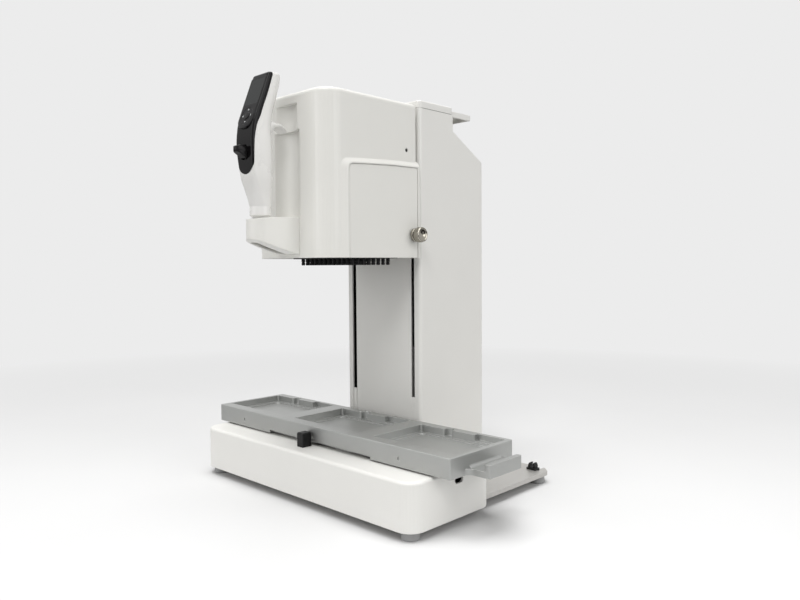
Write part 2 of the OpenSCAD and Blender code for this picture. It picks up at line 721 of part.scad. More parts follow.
// Power socket and rocker switch in the tower's rear wall
module power_inlet() color([0.06, 0.06, 0.06]) placed() difference() {
    union() {
        rod_y(inlet_x, tower_back - 14, tower_back, port_z, 6.9);
        rod_y(inlet_x, tower_back - tower_wall - 2, tower_back - tower_wall, port_z, 10);
        rod_y(inlet_x, tower_back - 14, tower_back - tower_wall - 1, port_z, 8);
    }
    difference() {
        rod_y(inlet_x, tower_back - 10, tower_back + 1, port_z, 4.5);
        rod_y(inlet_x, tower_back - 11, tower_back - 2, port_z, 1.2);
    }
}

// Frame of the rocker switch, with the two pins that the rocker turns on
module switch_frame() color([0.06, 0.06, 0.06]) placed() {
    difference() {
        union() {
            slab([switch_x - 6.9, tower_back - 13, port_z - 10.4],
                 [switch_x + 6.9, tower_back, port_z + 10.4]);
            slab([switch_x - 9, tower_back - tower_wall - 1.5, port_z - 12.5],
                 [switch_x + 9, tower_back - tower_wall, port_z + 12.5]);
        }
        slab([switch_x - 5.9, tower_back - 11.5, port_z - 9.9],
             [switch_x + 5.9, tower_back + 1, port_z + 9.9]);
    }
    for (s = [-1, 1]) rod_x(switch_x + s * 5 - 1, switch_x + s * 5 + 1, switch_y, port_z, 1.2);
}

switch_tilt = 8;
switch_y = tower_back - 5.4;
module power_switch() color([0.08, 0.08, 0.08]) placed()
    translate([switch_x, switch_y, port_z]) rotate([switch_tilt, 0, 0]) difference() {
        union() {
            rotate([0, 90, 0]) cylinder(r = 3, h = 11, center = true);
            profile_x(-5.5, 5.5, [[0, -8.4], [3.6, -9], [2.6, 0], [3.6, 9], [0, 8.4]]);
        }
        rotate([0, 90, 0]) cylinder(r = 1.2 + run_gap, h = 12, center = true);
    }

// ---- head ----

band_w = 12;
band_top_share = 0.65;
band_corner_r = 6;
panel_gap = 0.4;
wall_x = head_w / 2;
proud_x = wall_x + shoulder_out;
panel_front = head_front + panel_inset;
nozzle_bottom = head_bottom - nozzle_l;
brow_w = recess_w - 8;
brow_z = head_bottom + brow_h;
function arc_r(w, depth) = (w * w / 4 + depth * depth) / (2 * depth);
console_top = head_bottom + 50;
recess_top = head_top - 14;
knob_z = head_bottom + 30;
knob_y = head_back - 12;
cover_screw = [head_back - 21, head_bottom + 140];
cover_screw_r = 2.6;

// Height of the shoulder opening's upper edge, which rises and flattens towards the back
function edge_z(y) = let (q = (y - panel_front) / (head_back - panel_front))
    head_bottom + band_low + (band_high - band_low) * (1 - pow(max(1 - q, 0), 1.8));

// Side outline of the shoulder opening, [y, z], drawn in or out by t
function shoulder_outline(t) = let (
        up = t > 0 ? band_top_share * t : t, r = band_corner_r + max(t, 0) / 2,
        front = panel_front - t, low = head_bottom - 1 - abs(t), top = edge_z(front + r) + up)
    concat([[front, low]],
           [for (k = [0 : 4]) [front + r * (1 - cos(22.5 * k)), top - r * (1 - sin(22.5 * k))]],
           [for (y = [24, 48, 80]) [panel_front + y, edge_z(panel_front + y) + up]],
           [[head_back + 1, edge_z(head_back + 1) + up], [head_back + 1, low]]);

module shoulder_slab(half, t, bottom) intersection() {
    profile_x(-half, half, shoulder_outline(t));
    slab([-100, head_front, bottom], [100, head_back, head_top]);
}

module head_cover() color([0.91, 0.90, 0.88]) placed() difference() {
    union() {
        soft_block(head_w, head_front, head_back, head_bottom, head_top, head_corner_r, 6, head_edge_r);
        // proud shoulders round the side panels
        hull() {
            shoulder_slab(wall_x - 1, band_w + 1, head_bottom);
            shoulder_slab(proud_x, 3, head_bottom);
        }
    }
    difference() {
        union() {
            soft_block(head_w - 2 * head_wall, head_front + head_wall, head_back - head_wall,
                       head_bottom - 1, head_top - head_wall, head_corner_r - head_wall, 5, head_edge_r);
            pair() slab([0, panel_front + 3, head_bottom - 1],
                        [wall_x - 1, head_back - head_wall, head_bottom + 60]);
        }
        recess_form(head_wall);
    }
    // openings that the side panels close
    difference() {
        profile_x(-proud_x - 1, proud_x + 1, shoulder_outline(0));
        slab([-wall_x + head_wall, -far, 0], [wall_x - head_wall, far, far]);
        slab([-far, head_back - head_wall - 1, 0], [far, far, far]);
    }
    recess_form(0);
    // ways for the arms, the console's root and the cover screws
    pair() slab([slot_x - 4, head_back - head_wall - 1, head_bottom - 1],
                [slot_x + 4, head_back + 1, yoke_high + 2]);
    rod_x(-100, 100, cover_screw[0], cover_screw[1], cover_screw_r + run_gap);
}

// The hollow behind the handset: deep beside the grip, shallower above the hook. It grows by t
module recess_form(t) {
    translate([0, head_front + recess_depth - arc_r(recess_w, recess_depth), console_top - t])
        cylinder(r = arc_r(recess_w, recess_depth) + t, h = brow_z - console_top + 2 * t);
    translate([0, head_front + brow_depth - arc_r(brow_w, brow_depth), brow_z - eps])
        cylinder(r = arc_r(brow_w, brow_depth) + t, h = recess_top - brow_z + t);
}

// A side panel with four standing bosses that reach the head's frame
module side_panel() difference() {
    union() {
        intersection() {
            profile_x(proud_x - 3.4, proud_x - 0.6, shoulder_outline(-panel_gap));
            slab([0, head_front, head_bottom], [100, head_back - head_wall - 1.6, head_top]);
        }
        for (y = [panel_front + 16, head_back - 40], z = [head_bottom + 20, head_bottom + 100])
            rod_x(frame_x, proud_x - 3, y, z, 4);
    }
    rod_x(0, 100, knob_y, knob_z, 5);
}
module side_panel_right() color([0.90, 0.89, 0.87]) placed() side_panel();
module side_panel_left() color([0.90, 0.89, 0.87]) placed() mirror([1, 0, 0]) side_panel();

module cover_screws() color([0.10, 0.10, 0.10]) placed()
    pair() rod_x(frame_x, wall_x - 1.6, cover_screw[0], cover_screw[1], cover_screw_r);

// The nose under the handset: a plan that narrows to a round tip, an arched underside
console_r = 17.2;
console_root = 23;
console_wall = 3;
neck_r = 9;
function tangent_angle(r, w, run) = atan2(run, w) - acos(r / sqrt(w * w + run * run));
module console_plan(r, w) {
    run = head_front + 3 - console_y;
    a = tangent_angle(r, w, run);
    translate([0, console_y]) {
        circle(r);
        polygon([[r * cos(a), r * sin(a)], [w, run], [-w, run], [-r * cos(a), r * sin(a)]]);
    }
}
console_tip = console_y - console_r;
function under_z(s) = head_bottom + 4 + 19 * pow(s, 1.2);
UNDERSIDE = [for (k = [0 : 12]) [head_front + 3 + (console_tip - head_front - 4) * k / 12, under_z(k / 12)]];
// the console's side outline, [y, z], with its underside raised by t
function console_side(t) = concat([for (p = UNDERSIDE) [p[0], p[1] + t]],
    [[console_tip - 1, console_top - 4], [console_y, console_top - 1.5], [head_front + 3, console_top]]);

module front_console() color([0.92, 0.91, 0.89]) placed() difference() {
    intersection() {
        translate([0, 0, head_bottom]) linear_extrude(60) console_plan(console_r, console_root);
        profile_x(-30, 30, console_side(0));
    }
    difference() {
        intersection() {
            translate([0, 0, head_bottom]) linear_extrude(console_top - head_bottom - 6)
                console_plan(console_r - console_wall, console_root - console_wall);
            profile_x(-30, 30, console_side(console_wall));
        }
        translate([0, console_y, seat_z - 18]) cylinder(r = neck_r + 4, h = 30);
    }
    // opening in the underside
    translate([-7.2, (console_y + head_front) / 2 - 4, head_bottom])
        linear_extrude(28) round_outline(14, 46, 5);
    translate([0, console_y, seat_z - 20]) cylinder(r = neck_r + run_gap, h = 60);
    slab([-60, head_front, head_bottom - 5], [60, head_front + 10, console_top + 5]);
}

// ---- inside the head ----

frame_x = wall_x - 8;
frame_t = 3;
seal_t = 6;
block_z = head_bottom + 9;
block_h = 56;
rod_gap = 14;
plate_z = block_z + block_h + rod_gap;
drive_z = head_bottom + 132;
columns = 12;
rows = 8;
array_w = (columns - 1) * pitch;
array_d = (rows - 1) * pitch;
piston_r = piston_d / 2;
CHANNELS = [for (i = [0 : columns - 1], j = [0 : rows - 1])
    [(i - (columns - 1) / 2) * pitch, (j - (rows - 1) / 2) * pitch]];
eject_rod_r = 2;
EJECT_RODS = [for (sx = [-1, 1], sy = [-1, 1]) [sx * (array_w / 2 - 4.5), sy * (array_d / 2 + 8.5)]];
post_x = array_w / 2 + 7.5;
post_y = array_d / 2 - 9;
drive_r = 4;

module head_frame() color([0.70, 0.71, 0.72]) placed() difference() {
    union() {
        pair() slab([frame_x - frame_t, panel_front + 6, block_z], [frame_x, head_back - 10, drive_z + 6]);
        slab([-frame_x, head_back - 16, head_bottom + 20], [frame_x, head_back - 10, drive_z + 20]);
        slab([-frame_x, block_y - 45, drive_z], [frame_x, head_back - 10, drive_z + 6]);
        slab([-frame_x, panel_front + 6, block_z], [frame_x, panel_front + 9, block_z + 30]);
        pair() slab([frame_x - frame_t, head_back - 40, drive_z - 10],
                    [frame_x, head_back - 10, cover_screw[1] + 8]);
    }
    translate([0, block_y, drive_z - 1]) cylinder(r = drive_r + run_gap, h = 10);
    pair() rod_x(frame_x - 8, frame_x + 1, knob_y, knob_z, 4 + run_gap);
}

module cylinder_block() color([0.72, 0.73, 0.74]) placed() translate([0, block_y, block_z]) difference() {
    linear_extrude(block_h) {
        round_outline(array_w + 15, array_d + 24, 3);
        square([2 * (frame_x - frame_t), 40], center = true);
    }
    for (p = CHANNELS) translate([p[0], p[1], 6]) cylinder(r = piston_r + run_gap, h = block_h, $fn = 16);
    for (p = EJECT_RODS) translate([p[0], p[1], -1]) cylinder(r = eject_rod_r + run_gap, h = block_h + 2);
}

// Tip fittings: one stepped nozzle with a ring groove for each channel, on a seal plate
module tip_fittings() color([0.07, 0.07, 0.07]) placed() translate([0, block_y, 0]) {
    translate([0, 0, block_z - seal_t]) linear_extrude(seal_t)
        round_outline(array_w + 12, array_d + 12, 3);
    for (p = CHANNELS) translate([p[0], p[1], nozzle_bottom]) rotate_extrude($fn = 16)
        polygon([[0.8, 0], [nozzle_d / 2 - 0.4, 0], [nozzle_d / 2, 1.5], [nozzle_d / 2, 3],
                 [nozzle_d / 2 - 0.5, 3.2], [nozzle_d / 2 - 0.5, 4.2], [nozzle_d / 2, 4.4],
                 [nozzle_d / 2, block_z - seal_t - nozzle_bottom + eps],
                 [0.8, block_z - seal_t - nozzle_bottom + eps]]);
}

eject_z = head_bottom - 0.5;
module ejector_plate() color([0.08, 0.08, 0.08]) placed() translate([0, block_y, 0]) {
    difference() {
        translate([0, 0, eject_z]) linear_extrude(2.6) round_outline(array_w + 16, array_d + 24, 3);
        for (p = CHANNELS) translate([p[0], p[1], eject_z - 1])
            cylinder(r = nozzle_d / 2 + slide_gap, h = 6, $fn = 16);
    }
    // rods through the block, with the discs that the drive pushes down
    for (p = EJECT_RODS) translate([p[0], p[1], eject_z + 2]) {
        cylinder(r = eject_rod_r, h = block_z + block_h + eject_stroke + 3 - eject_z - 2);
        translate([0, 0, block_z + block_h + eject_stroke + 0.5 - eject_z - 2])
            cylinder(r = eject_rod_r + 1.5, h = 3);
    }
}

module guide_posts() color([0.78, 0.79, 0.80]) placed() translate([0, block_y, 0])
    for (sx = [-1, 1], sy = [-1, 1]) translate([sx * post_x, sy * post_y, block_z + block_h])
        cylinder(r = 3, h = drive_z - block_z - block_h, $fn = 32);

module pistons() color([0.80, 0.81, 0.82]) placed() translate([0, block_y, 0])
    for (p = CHANNELS) translate([p[0], p[1], block_z + 8])
        cylinder(r = piston_r, h = plate_z - block_z - 8, $fn = 16);

module piston_plate() color([0.70, 0.71, 0.72]) placed() translate([0, block_y, plate_z]) difference() {
    union() {
        linear_extrude(8) round_outline(array_w + 25, array_d + 16, 3);
        cylinder(r = 11, h = 16);
    }
    translate([0, 0, -1]) cylinder(r = drive_r + run_gap, h = 30);
    for (sx = [-1, 1], sy = [-1, 1]) translate([sx * post_x, sy * post_y, -1])
        cylinder(r = 3 + run_gap, h = 20, $fn = 32);
}

module piston_screw() color([0.78, 0.79, 0.80]) placed() translate([0, block_y, 0]) {
    translate([0, 0, plate_z - 8]) cylinder(r = drive_r, h = drive_z - plate_z + 22);
    translate([0, 0, drive_z - 8]) cylinder(r = 7, h = 7.5);
}

drive_motor_w = 56;
drive_motor_h = 42;
motor_end = 10;
module piston_motor() color([0.10, 0.10, 0.11]) placed() translate([0, block_y, drive_z + 6]) difference() {
    union() {
        for (z = [0, drive_motor_h - motor_end]) translate([0, 0, z])
            round_plate(drive_motor_w, drive_motor_w, motor_end, 4);
        translate([0, 0, motor_end - eps])
            round_plate(drive_motor_w - 2, drive_motor_w - 2, drive_motor_h - 2 * motor_end + 2 * eps, 8);
    }
    translate([0, 0, -1]) cylinder(r = drive_r + run_gap, h = motor_end + 1);
}

// A knurled thumb nut with its threaded stem, clamping the pipetting block
module clamp_knob() {
    flutes = 24;
    translate([proud_x + 1, knob_y, knob_z]) rotate([0, 90, 0]) {
        difference() {
            union() {
                cylinder(r = knob_d / 2 - 0.8, h = knob_l);
                translate([0, 0, 1.2]) cylinder(r = knob_d / 2, h = knob_l - 2.4);
            }
            for (k = [0 : flutes - 1]) rotate([0, 0, k * 360 / flutes])
                translate([knob_d / 2 + 0.5, 0, -1]) cylinder(r = 1, h = knob_l + 2, $fn = 8);
            translate([0, 0, knob_l - 1]) cylinder(r = knob_d / 2 - 3, h = 2);
        }
        stem = proud_x + 1 - frame_x + frame_t;
        translate([0, 0, -stem]) cylinder(r = 4, h = stem + eps);
    }
}
module clamp_knob_right() color([0.72, 0.71, 0.68]) placed() clamp_knob();
module clamp_knob_left() color([0.72, 0.71, 0.68]) placed() mirror([1, 0, 0]) clamp_knob();

// ---- handset ----

seat_z = console_top - 1;
module collar_ring() color([0.88, 0.88, 0.87]) placed() translate([0, console_y, 0]) {
    translate([0, 0, seat_z - 16]) cylinder(r = neck_r, h = 16 + eps);
    translate([0, 0, seat_z]) rotate_extrude()
        polygon([[0, 0], [collar_d / 2 - 2, 0], [collar_d / 2 - 1.4, 1.2], [collar_d / 2, 1.8],
                 [collar_d / 2, collar_h], [0, collar_h]]);
}

// Sections of the grip, y from the foot's axis:
// [height above the collar, front y, back y, half width, front radius, back radius, face depth]
grip_z = seat_z + collar_h;
half_grip = grip_w / 2;
GRIP = [[0, -collar_d / 2, collar_d / 2, collar_d / 2, collar_d / 2 - 0.1, collar_d / 2 - 0.1, 0],
        [37, -19.2, 13, half_grip - 1.3, 4.5, 12.4, 1.4], [74, -22, 12, half_grip, 3, 12.4, 3.7],
        [91, -20.5, 11, half_grip, 3, 12.4, 5.2], [107, -16, 13, half_grip, 3, 12.4, 7.6],
        [132, -6.2, 20, half_grip, 3, 12, 7.4], [154, 2.4, 25, half_grip - 0.4, 3, 11, 6.3],
        [158, 5.5, 24, half_grip - 1.6, 3, 9, 4.5]];
face_lean = atan2(22, 57);
slice_t = 0.2;

// One thin level of the grip: tight front corners, wide rear corners
module grip_slice(s) for (side = [-1, 1]) {
    translate([side * (s[3] - s[4]), console_y + s[1] + s[4], grip_z + s[0]])
        cylinder(r = s[4], h = slice_t, $fn = hull_fn);
    translate([side * (s[3] - s[5]), console_y + s[2] - s[5], grip_z + s[0]])
        cylinder(r = s[5], h = slice_t, $fn = hull_fn);
}

module grip_form() for (k = [0 : len(GRIP) - 2]) hull() {
    grip_slice(GRIP[k]);
    grip_slice(GRIP[k + 1]);
}

// Space of the black face: a skin on the grip's front that ends in a round tongue
tongue_z = grip_z + 53.4;
tongue_r = half_grip - 0.4;
face_back = [for (k = [len(GRIP) - 1 : -1 : 1]) [console_y + GRIP[k][1] + GRIP[k][6], grip_z + GRIP[k][0]]];
module face_space() intersection() {
    profile_x(-30, 30, concat([[console_y - 60, grip_z + 30], [console_y - 60, grip_z + 180],
                               [face_back[0][0], grip_z + 180]], face_back,
                              [[face_back[len(face_back) - 1][0], grip_z + 30]]));
    union() {
        rod_y(0, console_y - 60, console_y + 60, tongue_z, tongue_r);
        slab([-30, console_y - 60, tongue_z], [30, console_y + 60, grip_z + 180]);
    }
}

// Frame of the flat upper face: origin at its lower edge, Z out of the face, Y up along it
module on_face() translate([0, console_y + GRIP[4][1], grip_z + GRIP[4][0]])
    rotate([90 - face_lean, 0, 0]) children();

lever_y = console_y - 12;
lever_z = grip_z + 66;
module lever_space() slab([-lever_w / 2 - slide_gap, console_y - 40, lever_z - 12.5],
                          [lever_w / 2 + slide_gap, lever_y + 5, lever_z + 5]);

key_r = 5;
ring_r = 11;
ring_t = 3;
ring_up = -2;
key_travel = 0.8;
display_w = 27;
display_l = 34;
display_r = 2.5;
display_t = 1.5;
display_up = 31;
module handset_shell() color([0.93, 0.93, 0.92]) placed() difference() {
    grip_form();
    face_space();
    lever_space();
}

module handset_face() color([0.04, 0.04, 0.04]) placed() difference() {
    intersection() {
        grip_form();
        face_space();
    }
    lever_space();
    on_face() {
        translate([0, display_up, -display_t]) linear_extrude(6)
            round_outline(display_w + 0.3, display_l + 0.3, display_r);
        translate([0, ring_up, -ring_t - key_travel - 0.3]) cylinder(r = ring_r + run_gap, h = 9);
    }
}

module handset_display() color([0.16, 0.17, 0.18]) placed()
    on_face() translate([0, display_up, -display_t]) linear_extrude(display_t + 0.2)
        round_outline(display_w, display_l, display_r);

module keypad_ring() color([0.09, 0.09, 0.09]) placed()
    on_face() translate([0, ring_up, -ring_t]) difference() {
    cylinder(r = ring_r, h = ring_t + 0.2);
    translate([0, 0, -1]) cylinder(r = key_r + slide_gap, h = 6);
}

module select_key() color([0.12, 0.12, 0.12]) placed()
    on_face() translate([0, ring_up, key_travel + 0.3 - ring_t]) rotate_extrude()
        polygon([[0, 0], [key_r, 0], [key_r, 2.3], [key_r - 0.6, 2.9], [0, 3.1]]);

// The thumb lever that runs and ejects; it turns on its own short pin
LEVER = [[0, 2.9], [4, 2.6], [8, 2.1], [12, 2.6], [15.5, 3.5], [18.5, 3.7], [21, 2.9], [22.6, 1.4],
         [23.2, -0.8], [22.4, -3], [20, -5], [16, -7.2], [12, -9], [9, -9.7], [6, -8.6], [0, -2.9]];
module trigger_lever() color([0.05, 0.05, 0.05]) placed() {
    rod_x(-lever_w / 2, lever_w / 2, lever_y, lever_z, 3);
    tip = lever_y - lever_front;
    intersection() {
        profile_x(-lever_w / 2, lever_w / 2,
                  [for (p = LEVER) [lever_y - p[0] * tip / 23.2, lever_z + p[1]]]);
        translate([0, lever_front + lever_w / 2, lever_z - 20]) linear_extrude(40) {
            circle(lever_w / 2);
            translate([-lever_w / 2, 0]) square([lever_w, 40]);
        }
    }
}

// Curved finger rest on the grip's back
module finger_hook() color([0.93, 0.93, 0.92]) placed() difference() {
    profile_x(-11, 11, [for (p = [[8, 104], [16, 101], [24, 99.6], [32, 97], [36, 92.5], [34.5, 91],
        [30, 93.6], [24, 95], [16, 95.5], [12, 92], [8, 84]]) [console_y + p[0], grip_z + p[1]]]);
    grip_form();
}

base_cover();
base_plate();
feet();
foot_screws();
cable_clip();
guide_blocks();
index_block();
index_plunger();
stage_plate();
stage_rails();
stage_screws();
tower_cover();
tower_front_panel();
slot_strips();
top_cap();
carry_handle();
tower_spine();
guide_channels();
lift_rails();
lift_motor();
motor_bracket();
bearing_blocks();
lift_screw();
lift_nut();
lift_yoke();
rail_carriages();
control_board();
power_inlet();
switch_frame();
power_switch();
head_cover();
side_panel_right();
side_panel_left();
cover_screws();
front_console();
head_frame();
cylinder_block();
tip_fittings();
ejector_plate();
guide_posts();
pistons();
piston_plate();
piston_screw();
piston_motor();
clamp_knob_right();
clamp_knob_left();
collar_ring();
handset_shell();
handset_face();
handset_display();
keypad_ring();
select_key();
trigger_lever();
finger_hook();
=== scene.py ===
"""Looks of a bench-top pipetting robot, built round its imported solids.

Every length in the classes is in millimetres, in the drawing's own axes: X along the stage, Y from
front to back, Z up, with the tower's centre line at X = 0. at() turns such a place into the row frame.
"""

import json
import logging
import math
from dataclasses import dataclass, field
from enum import Enum

import bmesh
import bpy
import numpy as np
from mathutils import Matrix, Vector


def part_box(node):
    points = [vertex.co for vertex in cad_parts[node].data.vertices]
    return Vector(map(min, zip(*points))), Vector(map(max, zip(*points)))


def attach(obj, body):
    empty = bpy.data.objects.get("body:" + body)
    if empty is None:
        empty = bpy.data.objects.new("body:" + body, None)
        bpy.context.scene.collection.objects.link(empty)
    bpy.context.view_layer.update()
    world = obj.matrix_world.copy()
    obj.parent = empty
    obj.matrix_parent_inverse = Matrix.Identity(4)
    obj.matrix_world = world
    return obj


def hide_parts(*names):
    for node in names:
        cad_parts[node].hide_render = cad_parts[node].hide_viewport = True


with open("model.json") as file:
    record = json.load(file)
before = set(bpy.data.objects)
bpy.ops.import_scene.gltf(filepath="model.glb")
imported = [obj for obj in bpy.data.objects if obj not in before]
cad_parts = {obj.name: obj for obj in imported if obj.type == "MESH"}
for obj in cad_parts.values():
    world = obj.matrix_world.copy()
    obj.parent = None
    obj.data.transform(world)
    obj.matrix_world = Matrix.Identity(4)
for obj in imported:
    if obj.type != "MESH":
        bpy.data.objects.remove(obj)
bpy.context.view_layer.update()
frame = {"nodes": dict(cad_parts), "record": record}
log = logging.getLogger("pipetting_robot")

Point = tuple[float, float, float]
Colour = tuple[float, float, float]
Socket = bpy.types.NodeSocket
Piece = bpy.types.Object

# The tower cover's lowest corner in the drawing, which ties the drawing to the row frame.
TOWER_CORNER: Point = (-73.0, 2.7, 0.0)


def row_offset() -> np.ndarray:
    """Work out the row frame's shift from the drawing, in metres, with 0 along Z: both stand on the bench."""
    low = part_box("tower_cover")[0]
    return np.array([low[0] - TOWER_CORNER[0] / 1000, low[1] - TOWER_CORNER[1] / 1000, 0.0])


OFFSET = row_offset()

# Each solid's material slot, as the record names it.
SLOTS: dict[str, str] = {part["node"]: part["material_slot"] for part in frame["record"]["subparts"]}


def at(points: np.ndarray) -> np.ndarray:
    """Turn places in the drawing, whose last axis is X, Y, Z in millimetres, into the row frame's metres."""
    return np.asarray(points, dtype=float) / 1000 + OFFSET


def linear(colour: Colour) -> tuple[float, float, float, float]:
    """Turn a screen's colour of 0 to 255 into the linear red, green, blue and alpha that a shader takes."""
    c = np.asarray(colour, dtype=float) / 255
    lin = np.where(c <= 0.04045, c / 12.92, ((c + 0.055) / 1.055) ** 2.4)
    return (float(lin[0]), float(lin[1]), float(lin[2]), 1.0)


# ---------------------------------------------------------------- shader wiring


class Wiring:
    """Adds and joins nodes in one node tree."""

    def __init__(self, tree: bpy.types.NodeTree) -> None:
        """Keep the tree that is wired."""
        self.tree = tree

    def add(self, kind: str, **settings: object) -> bpy.types.Node:
        """Add a node of a type and set its properties by name."""
        node = self.tree.nodes.new(kind)
        for name, value in settings.items():
            setattr(node, name, value)
        return node

    def join(self, source: Socket, target: Socket) -> None:
        """Join an output socket to an input socket."""
        self.tree.links.new(source, target)

    def feed(self, value: object, target: Socket) -> None:
        """Join a socket, or set a plain value, on an input socket."""
        if isinstance(value, Socket):
            self.join(value, target)
        else:
            target.default_value = value

    def place(self) -> Socket:
        """Give the object's own coordinates."""
        return self.add("ShaderNodeTexCoord").outputs["Object"]

    def compute(self, operation: str, a: object, b: object, clamp: bool = False) -> Socket:
        """Add a Math node on two values or sockets, and keep its result between 0 and 1 if clamp is set."""
        node = self.add("ShaderNodeMath", operation=operation, use_clamp=clamp)
        self.feed(a, node.inputs[0])
        self.feed(b, node.inputs[1])
        return node.outputs[0]

    def blend(self, factor: object, a: object, b: object) -> Socket:
        """Mix two colours or sockets: a factor of 0 gives a, and 1 gives b."""
        node = self.add("ShaderNodeMix", data_type="RGBA")
        self.feed(factor, node.inputs["Factor"])
        self.feed(a, node.inputs[6])
        self.feed(b, node.inputs[7])
        return node.outputs[2]

    def remap(self, value: object, low: float, high: float, to_low: float = 0.0,
              to_high: float = 1.0) -> Socket:
        """Stretch a value from the range low to high to the range to_low to to_high, kept inside it."""
        node = self.add("ShaderNodeMapRange")
        self.feed(value, node.inputs["Value"])
        for name, number in zip(("From Min", "From Max", "To Min", "To Max"), (low, high, to_low, to_high)):
            node.inputs[name].default_value = number
        return node.outputs["Result"]


def open_group(name: str, inputs: dict[str, float], outputs: dict[str, str]) -> tuple[
        bpy.types.NodeTree, Wiring, bpy.types.Node, bpy.types.Node]:
    """Start a shader node group with named sockets.

    Args:
        name: The group's name.
        inputs: Name and standard value of each number that goes in.
        outputs: Name and socket type of each value that comes out.

    Returns:
        The group, its wiring, its input node and its output node.
    """
    tree = bpy.data.node_groups.new(name, "ShaderNodeTree")
    for label, value in inputs.items():
        socket = tree.interface.new_socket(name=label, in_out="INPUT", socket_type="NodeSocketFloat")
        socket.default_value = value
    for label, kind in outputs.items():
        tree.interface.new_socket(name=label, in_out="OUTPUT", socket_type=kind)
    wires = Wiring(tree)
    return tree, wires, wires.add("NodeGroupInput"), wires.add("NodeGroupOutput")


def noise(wires: Wiring, place: Socket, scale: object, detail: float,
          rough: float = 0.5) -> Socket:
    """Add a noise texture at a place: waves to the metre, octaves, and the strength of the finer ones."""
    node = wires.add("ShaderNodeTexNoise")
    wires.join(place, node.inputs["Vector"])
    wires.feed(scale, node.inputs["Scale"])
    node.inputs["Detail"].default_value = detail
    node.inputs["Roughness"].default_value = rough
    return node.outputs[0]


def soft_edge_group() -> bpy.types.NodeTree:
    """Make the group that rounds every edge in the shading and tells where the edges are.

    The normal is averaged over a small radius. The edge mask is one minus the dot product of that
    normal and the surface's own, stretched to run from 0 on flats to 1 on sharp edges.

    Returns:
        The group.
    """
    tree, wires, start, end = open_group(
        "soft_edge", {"Radius": 0.0008}, {"Normal": "NodeSocketVector", "Edge": "NodeSocketFloat"})
    bevel = wires.add("ShaderNodeBevel", samples=6)
    wires.join(start.outputs["Radius"], bevel.inputs["Radius"])
    surface = wires.add("ShaderNodeNewGeometry")
    dot = wires.add("ShaderNodeVectorMath", operation="DOT_PRODUCT")
    wires.join(bevel.outputs[0], dot.inputs[0])
    wires.join(surface.outputs["Normal"], dot.inputs[1])
    away = wires.compute("SUBTRACT", 1.0, dot.outputs["Value"])
    wires.join(wires.compute("MULTIPLY", away, 5.0, clamp=True), end.inputs["Edge"])
    wires.join(bevel.outputs[0], end.inputs["Normal"])
    return tree


def fine_grain_group() -> bpy.types.NodeTree:
    """Make the group for small surface relief: two noises, a coarse peel and a fine speckle.

    Returns:
        The group, whose Height runs from 0 to 1 and whose Tone is a slow cloud from 0 to 1.
    """
    tree, wires, start, end = open_group(
        "fine_grain", {"Scale": 900.0, "Speckle": 0.4, "Cloud Scale": 9.0},
        {"Height": "NodeSocketFloat", "Tone": "NodeSocketFloat"})
    place = wires.place()
    peel = noise(wires, place, start.outputs["Scale"], 2.0)
    speckle = noise(wires, place, wires.compute("MULTIPLY", start.outputs["Scale"], 3.7), 1.0)
    mixed = wires.add("ShaderNodeMix", data_type="FLOAT")
    wires.join(start.outputs["Speckle"], mixed.inputs[0])
    wires.join(peel, mixed.inputs[2])
    wires.join(speckle, mixed.inputs[3])
    wires.join(mixed.outputs[0], end.inputs["Height"])
    wires.join(noise(wires, place, start.outputs["Cloud Scale"], 3.0, 0.55), end.inputs["Tone"])
    return tree


def handling_group() -> bpy.types.NodeTree:
    """Make the group for traces of use: soft smudges, and dust that settles on faces that look up.

    Dust follows the upward part of the surface's normal, broken up by a fine noise.

    Returns:
        The group, whose Smudge and Dust masks run from 0 to 1.
    """
    tree, wires, start, end = open_group(
        "handling", {"Smudge Scale": 22.0, "Dust Scale": 260.0},
        {"Smudge": "NodeSocketFloat", "Dust": "NodeSocketFloat"})
    place = wires.place()
    smudge = noise(wires, place, start.outputs["Smudge Scale"], 4.0, 0.6)
    wires.join(wires.remap(smudge, 0.45, 0.75), end.inputs["Smudge"])
    split = wires.add("ShaderNodeSeparateXYZ")
    wires.join(wires.add("ShaderNodeNewGeometry").outputs["Normal"], split.inputs[0])
    upward = wires.remap(split.outputs["Z"], 0.6, 1.0)
    speck = wires.remap(noise(wires, place, start.outputs["Dust Scale"], 3.0, 0.7), 0.5, 0.8)
    wires.join(wires.compute("MULTIPLY", upward, speck), end.inputs["Dust"])
    return tree


def brushed_group() -> bpy.types.NodeTree:
    """Make the group for tool lines: a noise drawn out along X, so that fine lines run that way.

    Returns:
        The group, whose Height runs from 0 to 1.
    """
    tree, wires, start, end = open_group(
        "brushed", {"Scale": 2600.0}, {"Height": "NodeSocketFloat"})
    place = wires.place()
    drawn = wires.add("ShaderNodeMapping")
    drawn.inputs["Scale"].default_value = (0.02, 1.0, 1.0)
    wires.join(place, drawn.inputs["Vector"])
    wires.join(noise(wires, drawn.outputs[0], start.outputs["Scale"], 3.0, 0.6), end.inputs["Height"])
    return tree


GROUPS = {tree.name: tree for tree in
          (soft_edge_group(), fine_grain_group(), handling_group(), brushed_group())}


# ---------------------------------------------------------------- finishes


class Relief(Enum):
    """Which relief a finish carries."""

    PEEL = "fine_grain"
    TOOL_LINES = "brushed"


